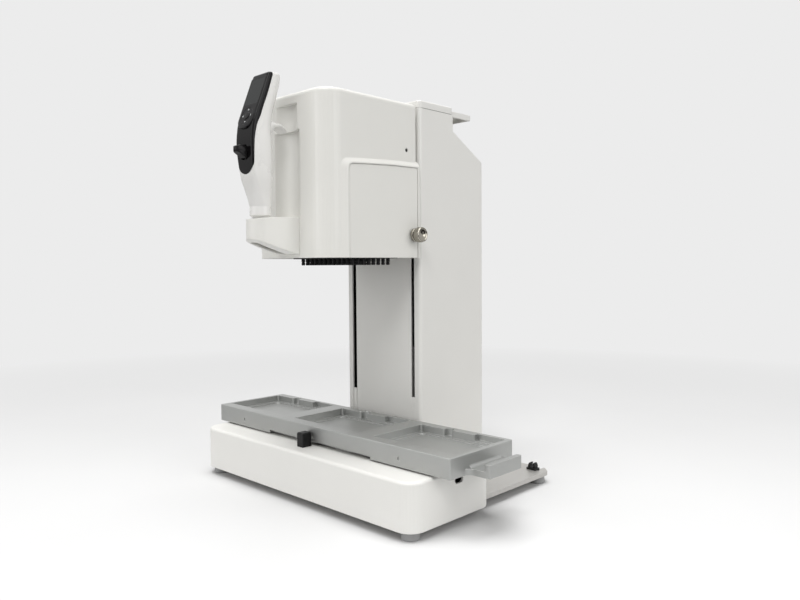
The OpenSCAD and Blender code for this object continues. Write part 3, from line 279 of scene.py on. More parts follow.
@dataclass(frozen=True)
class Finish:
    """One surface finish, with its own shader."""

    name: str
    colour: Colour
    roughness: float
    metallic: float = 0.0
    relief: Relief = Relief.PEEL
    grain: float = 900.0
    depth: float = 0.01
    speckle: float = 0.4
    tone: float = 0.03
    spread: float = 0.06
    edge: float = 0.6
    # The next two fields lighten the edges towards a pale colour: partly real rubbing, partly a painted
    # highlight where edges catch the light.
    edge_wear_and_highlight: float = 0.12
    worn_and_lit_edge: Colour = (240, 240, 238)
    dust: float = 0.05
    coat: float = 0.0
    coat_rough: float = 0.08
    specular: float = 0.5

    def relief_node(self, wires: Wiring) -> bpy.types.Node:
        """Place the group that gives the finish its relief, with this finish's values."""
        node = wires.add("ShaderNodeGroup", node_tree=GROUPS[self.relief.value])
        node.inputs["Scale"].default_value = self.grain
        if self.relief is Relief.PEEL:
            node.inputs["Speckle"].default_value = self.speckle
        return node

    def tint(self, wires: Wiring, tone: Socket) -> Socket:
        """Make the finish's own colour, which follows the slow cloud from dark to light."""
        base = linear(self.colour)
        dark = tuple(c * (1 - self.tone) for c in base[:3]) + (1.0,)
        light = tuple(min(c * (1 + self.tone), 1.0) for c in base[:3]) + (1.0,)
        return wires.blend(wires.remap(tone, 0.3, 0.7), dark, light)

    def build(self) -> bpy.types.Material:
        """Make the material: edges lightened as if rubbed and as a painted edge highlight, relief, tone, smudges
        and dust over the finish's own colour.
        """
        material = bpy.data.materials.new(self.name)
        material.use_nodes = True
        tree = material.node_tree
        wires = Wiring(tree)
        shader = tree.nodes["Principled BSDF"]
        for label, value in (("Metallic", self.metallic), ("Specular IOR Level", self.specular),
                             ("Coat Weight", self.coat), ("Coat Roughness", self.coat_rough)):
            shader.inputs[label].default_value = value
        edge = wires.add("ShaderNodeGroup", node_tree=GROUPS["soft_edge"])
        edge.inputs["Radius"].default_value = self.edge / 1000
        relief = self.relief_node(wires)
        cloud = wires.add("ShaderNodeGroup", node_tree=GROUPS["fine_grain"])
        use = wires.add("ShaderNodeGroup", node_tree=GROUPS["handling"])
        colour = self.tint(wires, cloud.outputs["Tone"])
        # Painted edge highlight: edges are lightened towards a pale colour, partly for real rubbing and partly
        # where edges would catch the light.
        worn_and_lit_edge = wires.compute("MULTIPLY", edge.outputs["Edge"], self.edge_wear_and_highlight)
        colour = wires.blend(worn_and_lit_edge, colour, linear(self.worn_and_lit_edge))
        dusty = wires.compute("MULTIPLY", use.outputs["Dust"], self.dust)
        colour = wires.blend(dusty, colour, linear((205, 202, 194)))
        wires.join(colour, shader.inputs["Base Color"])
        low = max(self.roughness - self.spread, 0.02)
        high = min(self.roughness + self.spread, 1.0)
        wires.join(wires.remap(use.outputs["Smudge"], 0.0, 1.0, low, high), shader.inputs["Roughness"])
        bump = wires.add("ShaderNodeBump")
        bump.inputs["Strength"].default_value = 1.0
        bump.inputs["Distance"].default_value = self.depth / 1000
        wires.join(relief.outputs["Height"], bump.inputs["Height"])
        wires.join(edge.outputs["Normal"], bump.inputs["Normal"])
        wires.join(bump.outputs[0], shader.inputs["Normal"])
        return material


@dataclass(frozen=True)
class BoardFinish(Finish):
    """Circuit board: solder mask crossed by fine copper lines."""

    def tint(self, wires: Wiring, tone: Socket) -> Socket:
        """Make the green mask with paler lines from a brick pattern over X and Z."""
        base = super().tint(wires, tone)
        place = wires.place()
        turned = wires.add("ShaderNodeMapping")
        turned.inputs["Rotation"].default_value = (math.pi / 2, 0.0, 0.0)
        wires.join(place, turned.inputs["Vector"])
        tracks = wires.add("ShaderNodeTexBrick", offset=0.37)
        wires.join(turned.outputs[0], tracks.inputs["Vector"])
        tracks.inputs["Scale"].default_value = 60.0
        tracks.inputs["Mortar Size"].default_value = 0.03
        return wires.blend(wires.compute("MULTIPLY", tracks.outputs["Fac"], 0.5), base, linear((96, 140, 92)))


# Each finish's edge lightening stands for rubbing and for a painted highlight where edges catch the light.
FINISHES: dict[str, Finish] = {
    "cover": Finish("powder_coat_offwhite", (226, 225, 221), 0.42, grain=700, depth=0.035, tone=0.012,
        edge=1.0, edge_wear_and_highlight=0.25, worn_and_lit_edge=(246, 245, 242)),
    "head_plastic": Finish("textured_offwhite", (226, 225, 220), 0.40, grain=1500, depth=0.02, tone=0.012,
        edge=1.6, edge_wear_and_highlight=0.3, worn_and_lit_edge=(247, 246, 240)),
    "handset_white": Finish("smooth_white", (229, 228, 225), 0.30, grain=400, depth=0.008, tone=0.01,
        edge=0.8, edge_wear_and_highlight=0.15, coat=0.15),
    "handset_black": Finish("polished_black", (16, 15, 16), 0.16, grain=120, depth=0.006, tone=0.15,
        edge=0.8, edge_wear_and_highlight=0.04, worn_and_lit_edge=(90, 90, 92), coat=0.08, coat_rough=0.05, dust=0.002, specular=0.12),
    "display_glass": Finish("display_window", (34, 36, 36), 0.10, grain=60, depth=0.004, tone=0.06,
        edge=0.3, edge_wear_and_highlight=0.05, coat=0.06, dust=0.002, specular=0.15),
    "key_plastic": Finish("satin_black_keys", (22, 21, 22), 0.34, grain=2200, depth=0.015, tone=0.08,
        edge=0.5, edge_wear_and_highlight=0.06, worn_and_lit_edge=(110, 110, 110), dust=0.003, specular=0.15),
    "stage_aluminium": Finish("blasted_aluminium", (168, 169, 167), 0.46, metallic=0.85, grain=2400,
        depth=0.03, tone=0.03, edge=0.5, edge_wear_and_highlight=0.5, worn_and_lit_edge=(236, 236, 234), spread=0.04),
    "plate_aluminium": Finish("anodised_plate", (188, 186, 182), 0.44, metallic=0.75, grain=1800,
        depth=0.02, tone=0.03, edge=0.5, edge_wear_and_highlight=0.4, worn_and_lit_edge=(232, 231, 228)),
    "frame_aluminium": Finish("milled_aluminium", (196, 197, 197), 0.34, metallic=0.95,
        relief=Relief.TOOL_LINES, grain=2600, depth=0.02, tone=0.04, edge=0.4, edge_wear_and_highlight=0.3),
    "black_plastic": Finish("moulded_black", (18, 18, 19), 0.45, grain=1800, depth=0.03, tone=0.08,
        edge=0.4, edge_wear_and_highlight=0.10, worn_and_lit_edge=(110, 110, 110), dust=0.01, specular=0.25),
    "steel": Finish("ground_steel", (200, 200, 200), 0.24, metallic=1.0, relief=Relief.TOOL_LINES,
        grain=3600, depth=0.012, tone=0.03, edge=0.3, edge_wear_and_highlight=0.2),
    "bronze": Finish("machined_bronze", (186, 146, 84), 0.30, metallic=1.0, relief=Relief.TOOL_LINES,
        grain=3000, depth=0.015, tone=0.05, edge=0.3, edge_wear_and_highlight=0.2, worn_and_lit_edge=(230, 200, 150)),
    "foot_grey": Finish("grey_rubber", (150, 150, 150), 0.72, grain=1300, depth=0.05, tone=0.06, edge=0.8,
        edge_wear_and_highlight=0.05, dust=0.15),
    "motor_black": Finish("motor_paint", (30, 30, 31), 0.5, grain=1100, depth=0.03, tone=0.08, edge=0.5,
        edge_wear_and_highlight=0.2, worn_and_lit_edge=(120, 120, 120)),
    "nickel": Finish("nickel_plate", (158, 154, 144), 0.20, metallic=1.0, grain=1600, depth=0.012,
        tone=0.04, edge=0.25, edge_wear_and_highlight=0.2),
    "seam_grey": Finish("seam_gasket", (120, 119, 116), 0.7, grain=1500, depth=0.01, tone=0.1, edge=0.1,
        edge_wear_and_highlight=0.05, dust=0.03),
    "marking_grey": Finish("pale_key_mark", (188, 190, 190), 0.4, grain=1200, depth=0.004, tone=0.03,
        edge=0.1, edge_wear_and_highlight=0.05, dust=0.01),
    "board_green": BoardFinish("solder_mask", (28, 92, 48), 0.35, grain=1500, depth=0.01),
}


@dataclass
class PaintShop:
    """Makes each finish once and dresses solids and pieces with it."""

    made: dict[str, bpy.types.Material] = field(default_factory=dict)

    def material(self, slot: str) -> bpy.types.Material:
        """Give the material of a named slot, made the first time it is asked for."""
        if slot not in self.made:
            self.made[slot] = FINISHES[slot].build()
        return self.made[slot]

    def dress(self, node: str) -> None:
        """Give a solid the finish that its record names."""
        for holder in frame["nodes"][node].material_slots:
            holder.material = self.material(SLOTS[node])
        log.info("%s wears %s", node, FINISHES[SLOTS[node]].name)

    def place(self, piece: Piece, slot: str, body: str, *nodes: str) -> None:
        """Dress a new piece, hang it on its body and hide the solids that it stands for.

        Args:
            piece: The new piece.
            slot: Name of its finish.
            body: The body that it moves with.
            nodes: Solids that it stands for.
        """
        piece.data.materials.clear()
        piece.data.materials.append(self.material(slot))
        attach(piece, body)
        if nodes:
            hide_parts(*nodes)
        log.info("%s: %d faces, rides on %s", piece.name, len(piece.data.polygons), body)


# ---------------------------------------------------------------- surfaces


def smooth_rows(rows: np.ndarray, levels: np.ndarray) -> np.ndarray:
    """Carry rows of sizes smoothly over new levels.

    Each column is a cubic through its knots. A knot's slope is the harmonic mean of the slopes on
    both sides where these agree in sign, and 0 where they don't, so the curve never overshoots and
    straight runs stay straight.

    Args:
        rows: Knots, one a row, with the level in the first column.
        levels: The levels that are wanted.

    Returns:
        One row for each level, without the level's own column.
    """
    x, y = rows[:, 0], rows[:, 1:]
    step = np.diff(x)[:, None]
    slope = np.diff(y, axis=0) / step
    product, total = slope[:-1] * slope[1:], slope[:-1] + slope[1:]
    inner = np.where(product > 0, 2 * product / np.where(total == 0, 1, total), 0.0)
    tangent = np.vstack([slope[:1], inner, slope[-1:]])
    k = np.clip(np.searchsorted(x, levels, side="right") - 1, 0, len(x) - 2)
    h = step[k]
    t = ((levels - x[k]) / np.diff(x)[k])[:, None]
    return ((2 * t**3 - 3 * t**2 + 1) * y[k] + (t**3 - 2 * t**2 + t) * h * tangent[k]
            + (3 * t**2 - 2 * t**3) * y[k + 1] + (t**3 - t**2) * h * tangent[k + 1])


def closed_curve(knots: np.ndarray, count: int) -> np.ndarray:
    """Run a smooth closed curve through knots.

    The curve is a periodic Catmull-Rom spline, with the same number of points between each two knots.

    Args:
        knots: The curve's knots in order.
        count: Points for each span.

    Returns:
        The points of the curve.
    """
    a, b, c, d = (np.roll(knots, s, axis=0)[:, None, :] for s in (1, 0, -1, -2))
    t = (np.arange(count) / count)[None, :, None]
    points = 0.5 * (2 * b + (c - a) * t + (2 * a - 5 * b + 4 * c - d) * t**2 + (3 * b - a - 3 * c + d) * t**3)
    return points.reshape(-1, knots.shape[1])


def outward(curve: np.ndarray) -> np.ndarray:
    """Give the outward unit normals of a closed flat curve that runs counter-clockwise."""
    along = np.roll(curve, -1, axis=0) - np.roll(curve, 1, axis=0)
    along /= np.maximum(np.linalg.norm(along, axis=1, keepdims=True), 1e-9)
    return np.stack([along[:, 1], -along[:, 0]], axis=1)


def skin(name: str, *stacks: np.ndarray, caps: bool = True) -> Piece:
    """Make a closed skin over each of some stacks of rings, all in one piece.

    Vertex (i, j) is point j of ring i. Each quad joins (i, j), (i, j+1), (i+1, j+1) and (i+1, j), with j
    running round, and the first and last rings are closed by one face each.

    Args:
        name: The piece's name.
        stacks: Arrays of rings, points and X, Y, Z in the drawing's millimetres.
        caps: Whether the end rings are closed.

    Returns:
        The new object, with its doubles merged and its faces turned outwards.
    """
    faces: list[list[int]] = []
    first = 0
    for rings in stacks:
        count, size = rings.shape[:2]
        i, j = np.meshgrid(np.arange(count - 1), np.arange(size), indexing="ij")
        k = (j + 1) % size
        here, above = first + i * size, first + (i + 1) * size
        faces += np.stack([here + j, here + k, above + k, above + j], axis=-1).reshape(-1, 4).tolist()
        if caps:
            faces.append(list(range(first + size - 1, first - 1, -1)))
            faces.append(list(range(first + (count - 1) * size, first + count * size)))
        first += count * size
    places = np.concatenate([rings.reshape(-1, 3) for rings in stacks])
    mesh = bpy.data.meshes.new(name)
    mesh.from_pydata(at(places).tolist(), [], faces)
    tidy(mesh)
    piece = bpy.data.objects.new(name, mesh)
    bpy.context.scene.collection.objects.link(piece)
    return piece


def turned(profile: np.ndarray, origin: Point, axis: Point, flutes: int = 0, count: int = 96) -> np.ndarray:
    """Turn a profile about an axis.

    Point (i, j) lies a_i along the axis, at the angle t_j and the radius
    r_i - d_i (1 - cos(n t_j)) / 2, with n flutes of depth d_i.

    Args:
        profile: Rows of place along the axis, radius and depth of the flutes.
        origin: Where the profile starts.
        axis: Its direction, one of the main axes either way round.
        flutes: How many flutes run along the piece.
        count: Points round each ring.

    Returns:
        The rings.
    """
    along = np.array(axis, dtype=float)
    across = np.roll(along, 1)
    third = np.cross(along, across)
    angle = np.arange(count) * 2 * math.pi / count
    place, radius, depth = (profile[:, k, None] for k in range(3))
    r = radius - depth * (1 - np.cos(flutes * angle)) / 2
    return (np.array(origin) + place[..., None] * along
            + (r * np.cos(angle))[..., None] * across + (r * np.sin(angle))[..., None] * third)


def disc(radius: float, count: int = 64) -> np.ndarray:
    """Give a circle: radius times cosine and sine of an even angle."""
    a = np.arange(count) * 2 * math.pi / count
    return radius * np.stack([np.cos(a), np.sin(a)], axis=1)


def panel(width: float, height: float, radius: float, count: int = 8) -> np.ndarray:
    """Give a rectangle with round corners: four quarter circles about the inner corners."""
    a = np.linspace(0, math.pi / 2, count)
    arcs = [np.stack([sx * (width / 2 - radius) + radius * np.cos(a + q * math.pi / 2),
                      sy * (height / 2 - radius) + radius * np.sin(a + q * math.pi / 2)], axis=1)
            for q, (sx, sy) in enumerate(((1, 1), (-1, 1), (-1, -1), (1, -1)))]
    return np.concatenate(arcs)


def tidy(mesh: bpy.types.Mesh) -> None:
    """Merge a mesh's doubles, drop its empty faces, turn the rest outwards and shade it smooth."""
    work = bmesh.new()
    work.from_mesh(mesh)
    bmesh.ops.remove_doubles(work, verts=work.verts, dist=2e-6)
    bmesh.ops.dissolve_degenerate(work, edges=work.edges, dist=1e-6)
    bmesh.ops.recalc_face_normals(work, faces=work.faces)
    work.to_mesh(mesh)
    work.free()
    mesh.shade_smooth()


def carve(piece: Piece, cutter: Piece) -> None:
    """Cut one closed form out of a piece, and take the cutter away."""
    cut = piece.modifiers.new("cut", "BOOLEAN")
    cut.operation = "DIFFERENCE"
    cut.solver = "EXACT"
    cut.object = cutter
    shape = bpy.data.meshes.new_from_object(piece.evaluated_get(bpy.context.evaluated_depsgraph_get()))
    piece.modifiers.clear()
    old, piece.data = piece.data, shape
    shape.name = old.name
    bpy.data.objects.remove(cutter)
    shape.shade_smooth()


# Turned pieces keep an edge hard above this angle, in degrees, and other pieces above sharpen's own.
TURNED_EDGE = 50.0


def sharpen(piece: Piece, degrees: float = 35.0) -> None:
    """Keep a piece smooth, with hard edges where its faces meet at more than an angle."""
    piece.data.set_sharp_from_angle(angle=math.radians(degrees))


# ---------------------------------------------------------------- sub-assemblies


@dataclass
class SubAssembly:
    """Solids that belong together, with the pieces that are built onto them."""

    shop: PaintShop
    nodes: tuple[str, ...] = ()

    def pieces(self) -> None:
        """Build the pieces; a sub-assembly that is all solids has none."""

    def build(self) -> None:
        """Dress the solids, then build the pieces."""
        for node in self.nodes:
            self.shop.dress(node)
        self.pieces()


@dataclass
class Base(SubAssembly):
    """Base cover and plate, feet, power inlet and switch."""

    nodes: tuple[str, ...] = ("base_cover", "base_plate", "feet", "foot_screws", "cable_clip", "power_inlet",
                              "switch_frame", "power_switch")
    feet: tuple[tuple[float, float], ...] = (
        (189.4, -142.87), (-189.4, -142.87), (176.5, 126.17), (-176.5, 126.17))
    # place along the foot's axis, radius
    foot_profile: tuple[tuple[float, float], ...] = (
        (3.5, 0.0), (3.5, 5.6), (3.2, 5.9), (0.6, 6.1), (0.15, 6.5), (0.0, 7.1), (0.0, 9.3), (0.2, 9.9),
        (0.7, 10.4), (1.5, 10.7), (2.6, 10.75), (4.5, 10.45), (7.0, 10.2), (9.4, 10.1), (10.3, 9.8),
        (10.75, 9.3), (10.9, 8.6), (10.9, 0.0))

    def pieces(self) -> None:
        """Turn the four rubber feet, with a rounded lip and a hollow for the screw."""
        rows = np.array([(a, r, 0.0) for a, r in self.foot_profile])
        stacks = [turned(rows, (x, y, 0.0), (0.0, 0.0, 1.0)) for x, y in self.feet]
        piece = skin("rubber_feet", *stacks, caps=False)
        sharpen(piece, TURNED_EDGE)
        self.shop.place(piece, "foot_grey", "base", "feet")


@dataclass
class Stage(SubAssembly):
    """Sliding aluminium plate with its nests, guides and index."""

    nodes: tuple[str, ...] = ("guide_blocks", "index_block", "index_plunger", "stage_plate", "stage_rails",
                              "stage_screws")


@dataclass
class Tower(SubAssembly):
    """Upright tower: covers, top cap, handle, spine and control board."""

    nodes: tuple[str, ...] = ("tower_cover", "tower_front_panel", "slot_strips", "top_cap", "carry_handle",
                              "tower_spine", "guide_channels", "control_board")
    width: float = 146.0
    front: float = 2.7
    back: float = 73.4
    corner: float = 6.0
    seam_z: float = 509.4
    seam_high: float = 0.7
    seam_proud: float = 0.06
    seam_deep: float = 1.0

    def pieces(self) -> None:
        """Lay the dark gasket between the cover and the cap: one flat tube round the tower's outline."""
        proud, deep = self.seam_proud, self.seam_deep
        loops = []
        for out, up in ((proud, -0.5), (proud, 0.5), (-deep, 0.5), (-deep, -0.5), (proud, -0.5)):
            flat = panel(self.width + 2 * out, self.back - self.front + 2 * out, self.corner + out, 12)
            z = np.full((len(flat), 1), self.seam_z + up * self.seam_high)
            loops.append(np.hstack([flat + np.array([0.0, (self.front + self.back) / 2]), z]))
        piece = skin("cap_gasket", np.stack(loops), caps=False)
        sharpen(piece)
        self.shop.place(piece, "seam_grey", "base")


@dataclass
class Lift(SubAssembly):
    """Rails, motor and screw that raise the head."""

    nodes: tuple[str, ...] = ("lift_rails", "lift_motor", "motor_bracket", "bearing_blocks", "lift_screw",
                              "lift_nut", "lift_yoke", "rail_carriages")


@dataclass
class Head(SubAssembly):
    """Head housing with its side panels, console, frame and two clamp knobs."""

    nodes: tuple[str, ...] = ("head_cover", "side_panel_right", "side_panel_left", "cover_screws",
                              "front_console", "head_frame", "clamp_knob_right", "clamp_knob_left")
    knob_place: tuple[float, float] = (-13.0, 340.0)
    knob_from: float = 78.0
    flutes: int = 36
    points_round: int = 288
    # place along the knob from the head's side, radius, depth of the flutes
    knob_profile: tuple[tuple[float, float, float], ...] = (
        (-16.0, 0.0, 0.0), (-16.0, 4.0, 0.0), (0.0, 4.0, 0.0), (0.0, 8.0, 0.0), (0.2, 8.6, 0.0), (0.7, 8.9, 0.0),
        (3.6, 8.9, 0.0), (4.1, 8.7, 0.0), (4.4, 8.2, 0.0), (4.5, 7.2, 0.0), (5.9, 7.2, 0.0), (6.0, 8.6, 0.0),
        (6.2, 9.2, 0.0), (6.7, 9.6, 0.0), (7.3, 9.97, 0.45), (8.5, 9.97, 0.45), (10.0, 9.97, 0.45),
        (11.5, 9.97, 0.45), (13.2, 9.97, 0.45), (13.9, 9.6, 0.0), (14.5, 9.3, 0.0), (14.9, 8.8, 0.0),
        (15.0, 8.2, 0.0), (14.9, 7.6, 0.0), (14.6, 7.2, 0.0), (14.5, 6.6, 0.0), (14.5, 2.2, 0.0),
        (14.2, 1.8, 0.0), (14.1, 0.0, 0.0))

    def pieces(self) -> None:
        """Turn both knobs: collar, neck, fluted head and dished face."""
        rows = np.array(self.knob_profile)
        y, z = self.knob_place
        for side, turn in (("right", 1.0), ("left", -1.0)):
            rings = turned(rows, (turn * self.knob_from, y, z), (turn, 0.0, 0.0), self.flutes,
                           self.points_round)
            piece = skin("fluted_knob_" + side, rings, caps=False)
            sharpen(piece, TURNED_EDGE)
            self.shop.place(piece, "nickel", "knob_" + side, "clamp_knob_" + side)


@dataclass
class PipettingBlock(SubAssembly):
    """Block of cylinders with its fittings, pistons and their drive."""

    nodes: tuple[str, ...] = ("cylinder_block", "tip_fittings", "ejector_plate", "guide_posts", "pistons",
                              "piston_plate", "piston_screw", "piston_motor")


@dataclass
class Handset(SubAssembly):
    """The upright handset: white grip, black face, thumb lever, finger hook, window and keys."""

    nodes: tuple[str, ...] = ("collar_ring", "handset_shell", "handset_face", "handset_display", "keypad_ring",
                              "select_key", "trigger_lever", "finger_hook")
    axis_y: float = -201.0
    foot_z: float = 372.0
    tongue_z: float = 425.4
    tongue_r: float = 16.6
    seam: float = 0.12
    top_round: float = 2.6
    levels: int = 90
    lever_place: tuple[float, float] = (-213.0, 438.0)
    lever_half: float = 6.0
    lever_tip: float = 23.2
    lever_round: float = 1.3
    slot_size: tuple[float, float, float] = (12.9, 17.0, 2.0)
    slot_drop: float = 3.9
    key_y: float = -2.0
    key_pocket: tuple[float, float] = (11.15, 5.2)
    window_y: float = 31.0
    window_size: tuple[float, float, float] = (27.3, 34.3, 2.6)
    window_deep: float = 1.55
    mark_out: float = 8.0
    wall_in: float = 1.0
    grip_wall: float = 0.9
    face_wall: float = 0.7
    # height above the foot, front y, back y, half width, front radius, back radius, depth of the face
    rows: tuple[tuple[float, ...], ...] = (
        (0, -12.7, 12.7, 12.7, 12.55, 12.55, 0.5), (12, -14.4, 12.8, 13.4, 9.5, 12.5, 0.8),
        (37, -19.2, 13.0, 15.7, 4.5, 12.4, 1.4), (74, -22.0, 12.0, 17.0, 3.0, 12.4, 3.7),
        (91, -20.5, 11.0, 17.0, 3.0, 12.4, 5.2), (107, -16.0, 13.0, 17.0, 3.0, 12.4, 7.6),
        (132, -6.2, 20.0, 17.0, 3.0, 12.0, 7.4), (154, 2.4, 25.0, 16.6, 3.0, 11.0, 6.3),
        (158.2, 4.05, 25.0, 16.5, 3.0, 11.0, 5.6))
    # the lever's side, from its axis: place towards the thumb, height
    lever_profile: tuple[tuple[float, float], ...] = (
        (0, -2.9), (4, -9.4), (7, -10.8), (9.5, -11.1), (12, -10.3), (14.5, -8.5), (17, -6.7), (19.5, -5.4),
        (21.8, -4.2), (22.95, -2.5), (23.14, -0.4), (22.45, 1.5), (20.9, 2.8), (18.4, 3.5), (15.2, 3.3),
        (11.5, 2.9), (8, 2.8), (4, 2.9), (0, 2.9), (-2.6, 1.6), (-3, 0), (-2.6, -1.6))
    # along the hook: y, z of its middle, half height, half width
    hook_path: tuple[tuple[float, ...], ...] = (
        (6, 94, 11.0, 10.5), (11, 95.5, 8.0, 11.0), (16, 98.0, 4.2, 11.0), (22, 98.0, 2.6, 11.0),
        (28, 96.4, 2.1, 10.8), (32.5, 94.0, 1.8, 10.0), (35.4, 91.4, 1.2, 8.0))
    plate_half: float = 15.3
    plate_low: float = -6.0
    plate_drop: float = 12.5
    plate_high: float = 49.5
    plate_corner: float = 2.6
    plate_proud: float = 0.32
    lean: float = math.atan2(22, 57)
    face_y: float = -217.0
    face_z: float = 479.0

    def sizes(self) -> tuple[np.ndarray, ...]:
        """Work out the grip's sizes at each level.

        The levels run evenly up the grip, closer together round the tongue's end, and then round over
        the top on a quarter circle, where every side draws in by the radius times one minus the cosine.

        Returns:
            Height, front y, back y, half width, front radius, back radius and depth of the face.
        """
        top = self.rows[-1][0]
        even = np.linspace(0.0, top - self.top_round, self.levels)
        turn = np.linspace(0.0, math.pi / 2, 9)[1:]
        low = self.tongue_z - self.foot_z - self.tongue_r
        tongue = low + self.tongue_r * (1 - np.cos(np.linspace(0.03, 1.1, 20)))
        even = np.union1d(even, tongue)
        level = np.concatenate([even, top - self.top_round * (1 - np.sin(turn))])
        inset = np.concatenate([np.zeros(len(even)), self.top_round * (1 - np.cos(turn))])
        front, back, half, fr, br, depth = smooth_rows(np.array(self.rows, dtype=float), level).T
        return (level, front + inset, back - inset, half - inset, np.maximum(fr - 0.6 * inset, 1.0),
                np.maximum(br - inset, 2.0), np.maximum(depth - inset, 1.2))

    def limits(self, level: np.ndarray, half: np.ndarray, fr: np.ndarray, depth: np.ndarray) -> tuple[
            np.ndarray, np.ndarray]:
        """Find where the face ends at each level.

        Below the tongue's middle the face is as wide as the circle of the tongue. It ends on the flat
        front, at some x, or round the corner, at some depth e, where x is
        half - fr + sqrt(fr^2 - (fr - e)^2).

        Returns:
            How far the face runs along the flat front, and how deep it runs round the corner.
        """
        drop = np.maximum(self.tongue_z - self.foot_z - level, 0.0)
        width = np.where(drop > 0, np.sqrt(np.maximum(self.tongue_r**2 - drop**2, 0.0)), 99.0)
        flat = np.minimum(half - fr, width)
        round_x = np.clip(width - half + fr, 0.0, fr)
        corner = np.where(width < half, fr - np.sqrt(np.maximum(fr**2 - round_x**2, 0.0)), depth)
        return flat, np.minimum(corner, depth) * (width > half - fr)

    @staticmethod
    def corner_x(e: np.ndarray, half: np.ndarray, fr: np.ndarray) -> np.ndarray:
        """Give x on the front corner at depth e: half - fr + sqrt(fr^2 - (fr - e)^2), or half beyond it."""
        return half - fr + np.sqrt(np.maximum(fr**2 - np.maximum(fr - e, 0.0)**2, 0.0))

    def loft(self, name: str, right: list[tuple[np.ndarray, np.ndarray]],
             level: np.ndarray) -> Piece:
        """Skin rings that are given by their right half, from the middle outwards or inwards.

        Args:
            name: The piece's name.
            right: x and y arrays of each point of the right half, one value for each level.
            level: The levels above the foot.

        Returns:
            The closed piece.
        """
        x = np.stack([p[0] for p in right], axis=1)
        y = np.stack([p[1] for p in right], axis=1)
        x, y = np.concatenate([x, -x[:, ::-1]], axis=1), np.concatenate([y, y[:, ::-1]], axis=1)
        z = np.broadcast_to(level[:, None], x.shape)
        return skin(name, np.stack([x, y + self.axis_y, z + self.foot_z], axis=-1))

    def grip(self) -> Piece:
        """Build the white grip: round the back, with a straight wall behind the face."""
        level, front, back, half, fr, br, depth = self.sizes()
        flat, corner = self.limits(level, half, fr, depth)
        flat, corner = flat + self.seam * (flat > 0), corner + self.seam * (corner > 0)
        start_x = np.where(corner > 0, self.corner_x(corner, half, fr), flat)
        start_y = front + corner
        side = back - br - front
        wall = start_y + self.grip_wall * (flat > 0)
        points = [(np.zeros_like(level), wall), (np.maximum(start_x - self.wall_in, 0.0), wall),
                  (start_x, start_y), (np.where(corner > 0, start_x, (flat + half - fr) / 2), start_y),
                  (np.where(corner > 0, start_x, half - fr), start_y)]
        for u in np.linspace(0, 1, 26)[1:]:
            e = corner + (side - corner) * u**1.8
            points.append((self.corner_x(e, half, fr), front + e))
        for a in np.linspace(0, math.pi / 2, 13)[1:]:
            points.append((half - br + br * math.cos(a), back - br + br * math.sin(a)))
        for u in (0.5, 1.0):
            points.append(((half - br) * (1 - u), back))
        return self.loft("handset_grip", points, level)

    def face(self) -> Piece:
        """Build the black face: flat front and round corners, with a straight wall behind."""
        level, front, back, half, fr, br, depth = self.sizes()
        flat, corner = self.limits(level, half, fr, depth)
        use = level > self.tongue_z - self.foot_z - self.tongue_r
        level, front, half, fr, flat, corner = (v[use] for v in (level, front, half, fr, flat, corner))
        corner = np.maximum(corner - self.seam, 0.0)
        points = [(flat * u, front) for u in np.linspace(0, 1, 9)]
        for u in np.linspace(0, 1, 15)[1:]:
            e = corner * u**1.6
            points.append((np.where(corner > 0, self.corner_x(e, half, fr), flat), front + e))
        end_x, end_y = points[-1]
        points.append((np.maximum(end_x - self.wall_in, 0.0), end_y + self.face_wall))
        points.append((np.zeros_like(level), end_y + self.face_wall))
        return self.loft("handset_front", points, level)

    def on_face(self, points: np.ndarray) -> np.ndarray:
        """Turn places on the flat upper face into the drawing: x across, y up along it, z out of it."""
        s, c = math.sin(self.lean), math.cos(self.lean)
        x, y, z = np.moveaxis(points, -1, 0)
        return np.stack([x, self.face_y + y * s - z * c, self.face_z + y * c + z * s], axis=-1)

    def stud(self, name: str, outline: np.ndarray, profile: np.ndarray, middle: float) -> Piece:
        """Raise a rounded form from an outline on the flat face.

        Ring k is the outline moved inwards by profile[k, 0] along its normals, at height profile[k, 1].

        Args:
            name: The piece's name.
            outline: Closed flat curve, counter-clockwise.
            profile: Inset and height of each ring.
            middle: Height of the outline's middle along the face.

        Returns:
            The closed piece.
        """
        normal = outward(outline)
        flat = outline[None] - profile[:, None, :1] * normal[None] + np.array([0.0, middle])
        z = np.broadcast_to(profile[:, None, 1:], flat[..., :1].shape)
        return skin(name, self.on_face(np.concatenate([flat, z], axis=-1)))

    def lever(self) -> Piece:
        """Build the thumb lever.

        Its side outline is a smooth closed curve. Across X each ring is the outline drawn in by
        r (1 - cos a) at half width h - r + r sin a, and the plan is rounded at the tip by a half circle.
        """
        outline = closed_curve(np.array(self.lever_profile, dtype=float), 5)
        inwards = -outward(outline)
        turn = np.linspace(0, math.pi / 2, 6)
        r = self.lever_round
        wide, drawn = self.lever_half - r + r * np.sin(turn), r * (1 - np.cos(turn))
        half, inset = np.concatenate([-wide[::-1], wide]), np.concatenate([drawn[::-1], drawn])
        flat = outline[None] + inset[:, None, None] * inwards[None]
        near = np.clip((flat[..., 0] - (self.lever_tip - self.lever_half)) / self.lever_half, 0.0, 0.985)
        x = half[:, None] * np.sqrt(1 - near**2)
        y, z = self.lever_place
        return skin("thumb_lever", np.stack([x, y - flat[..., 0], z + flat[..., 1]], axis=-1))

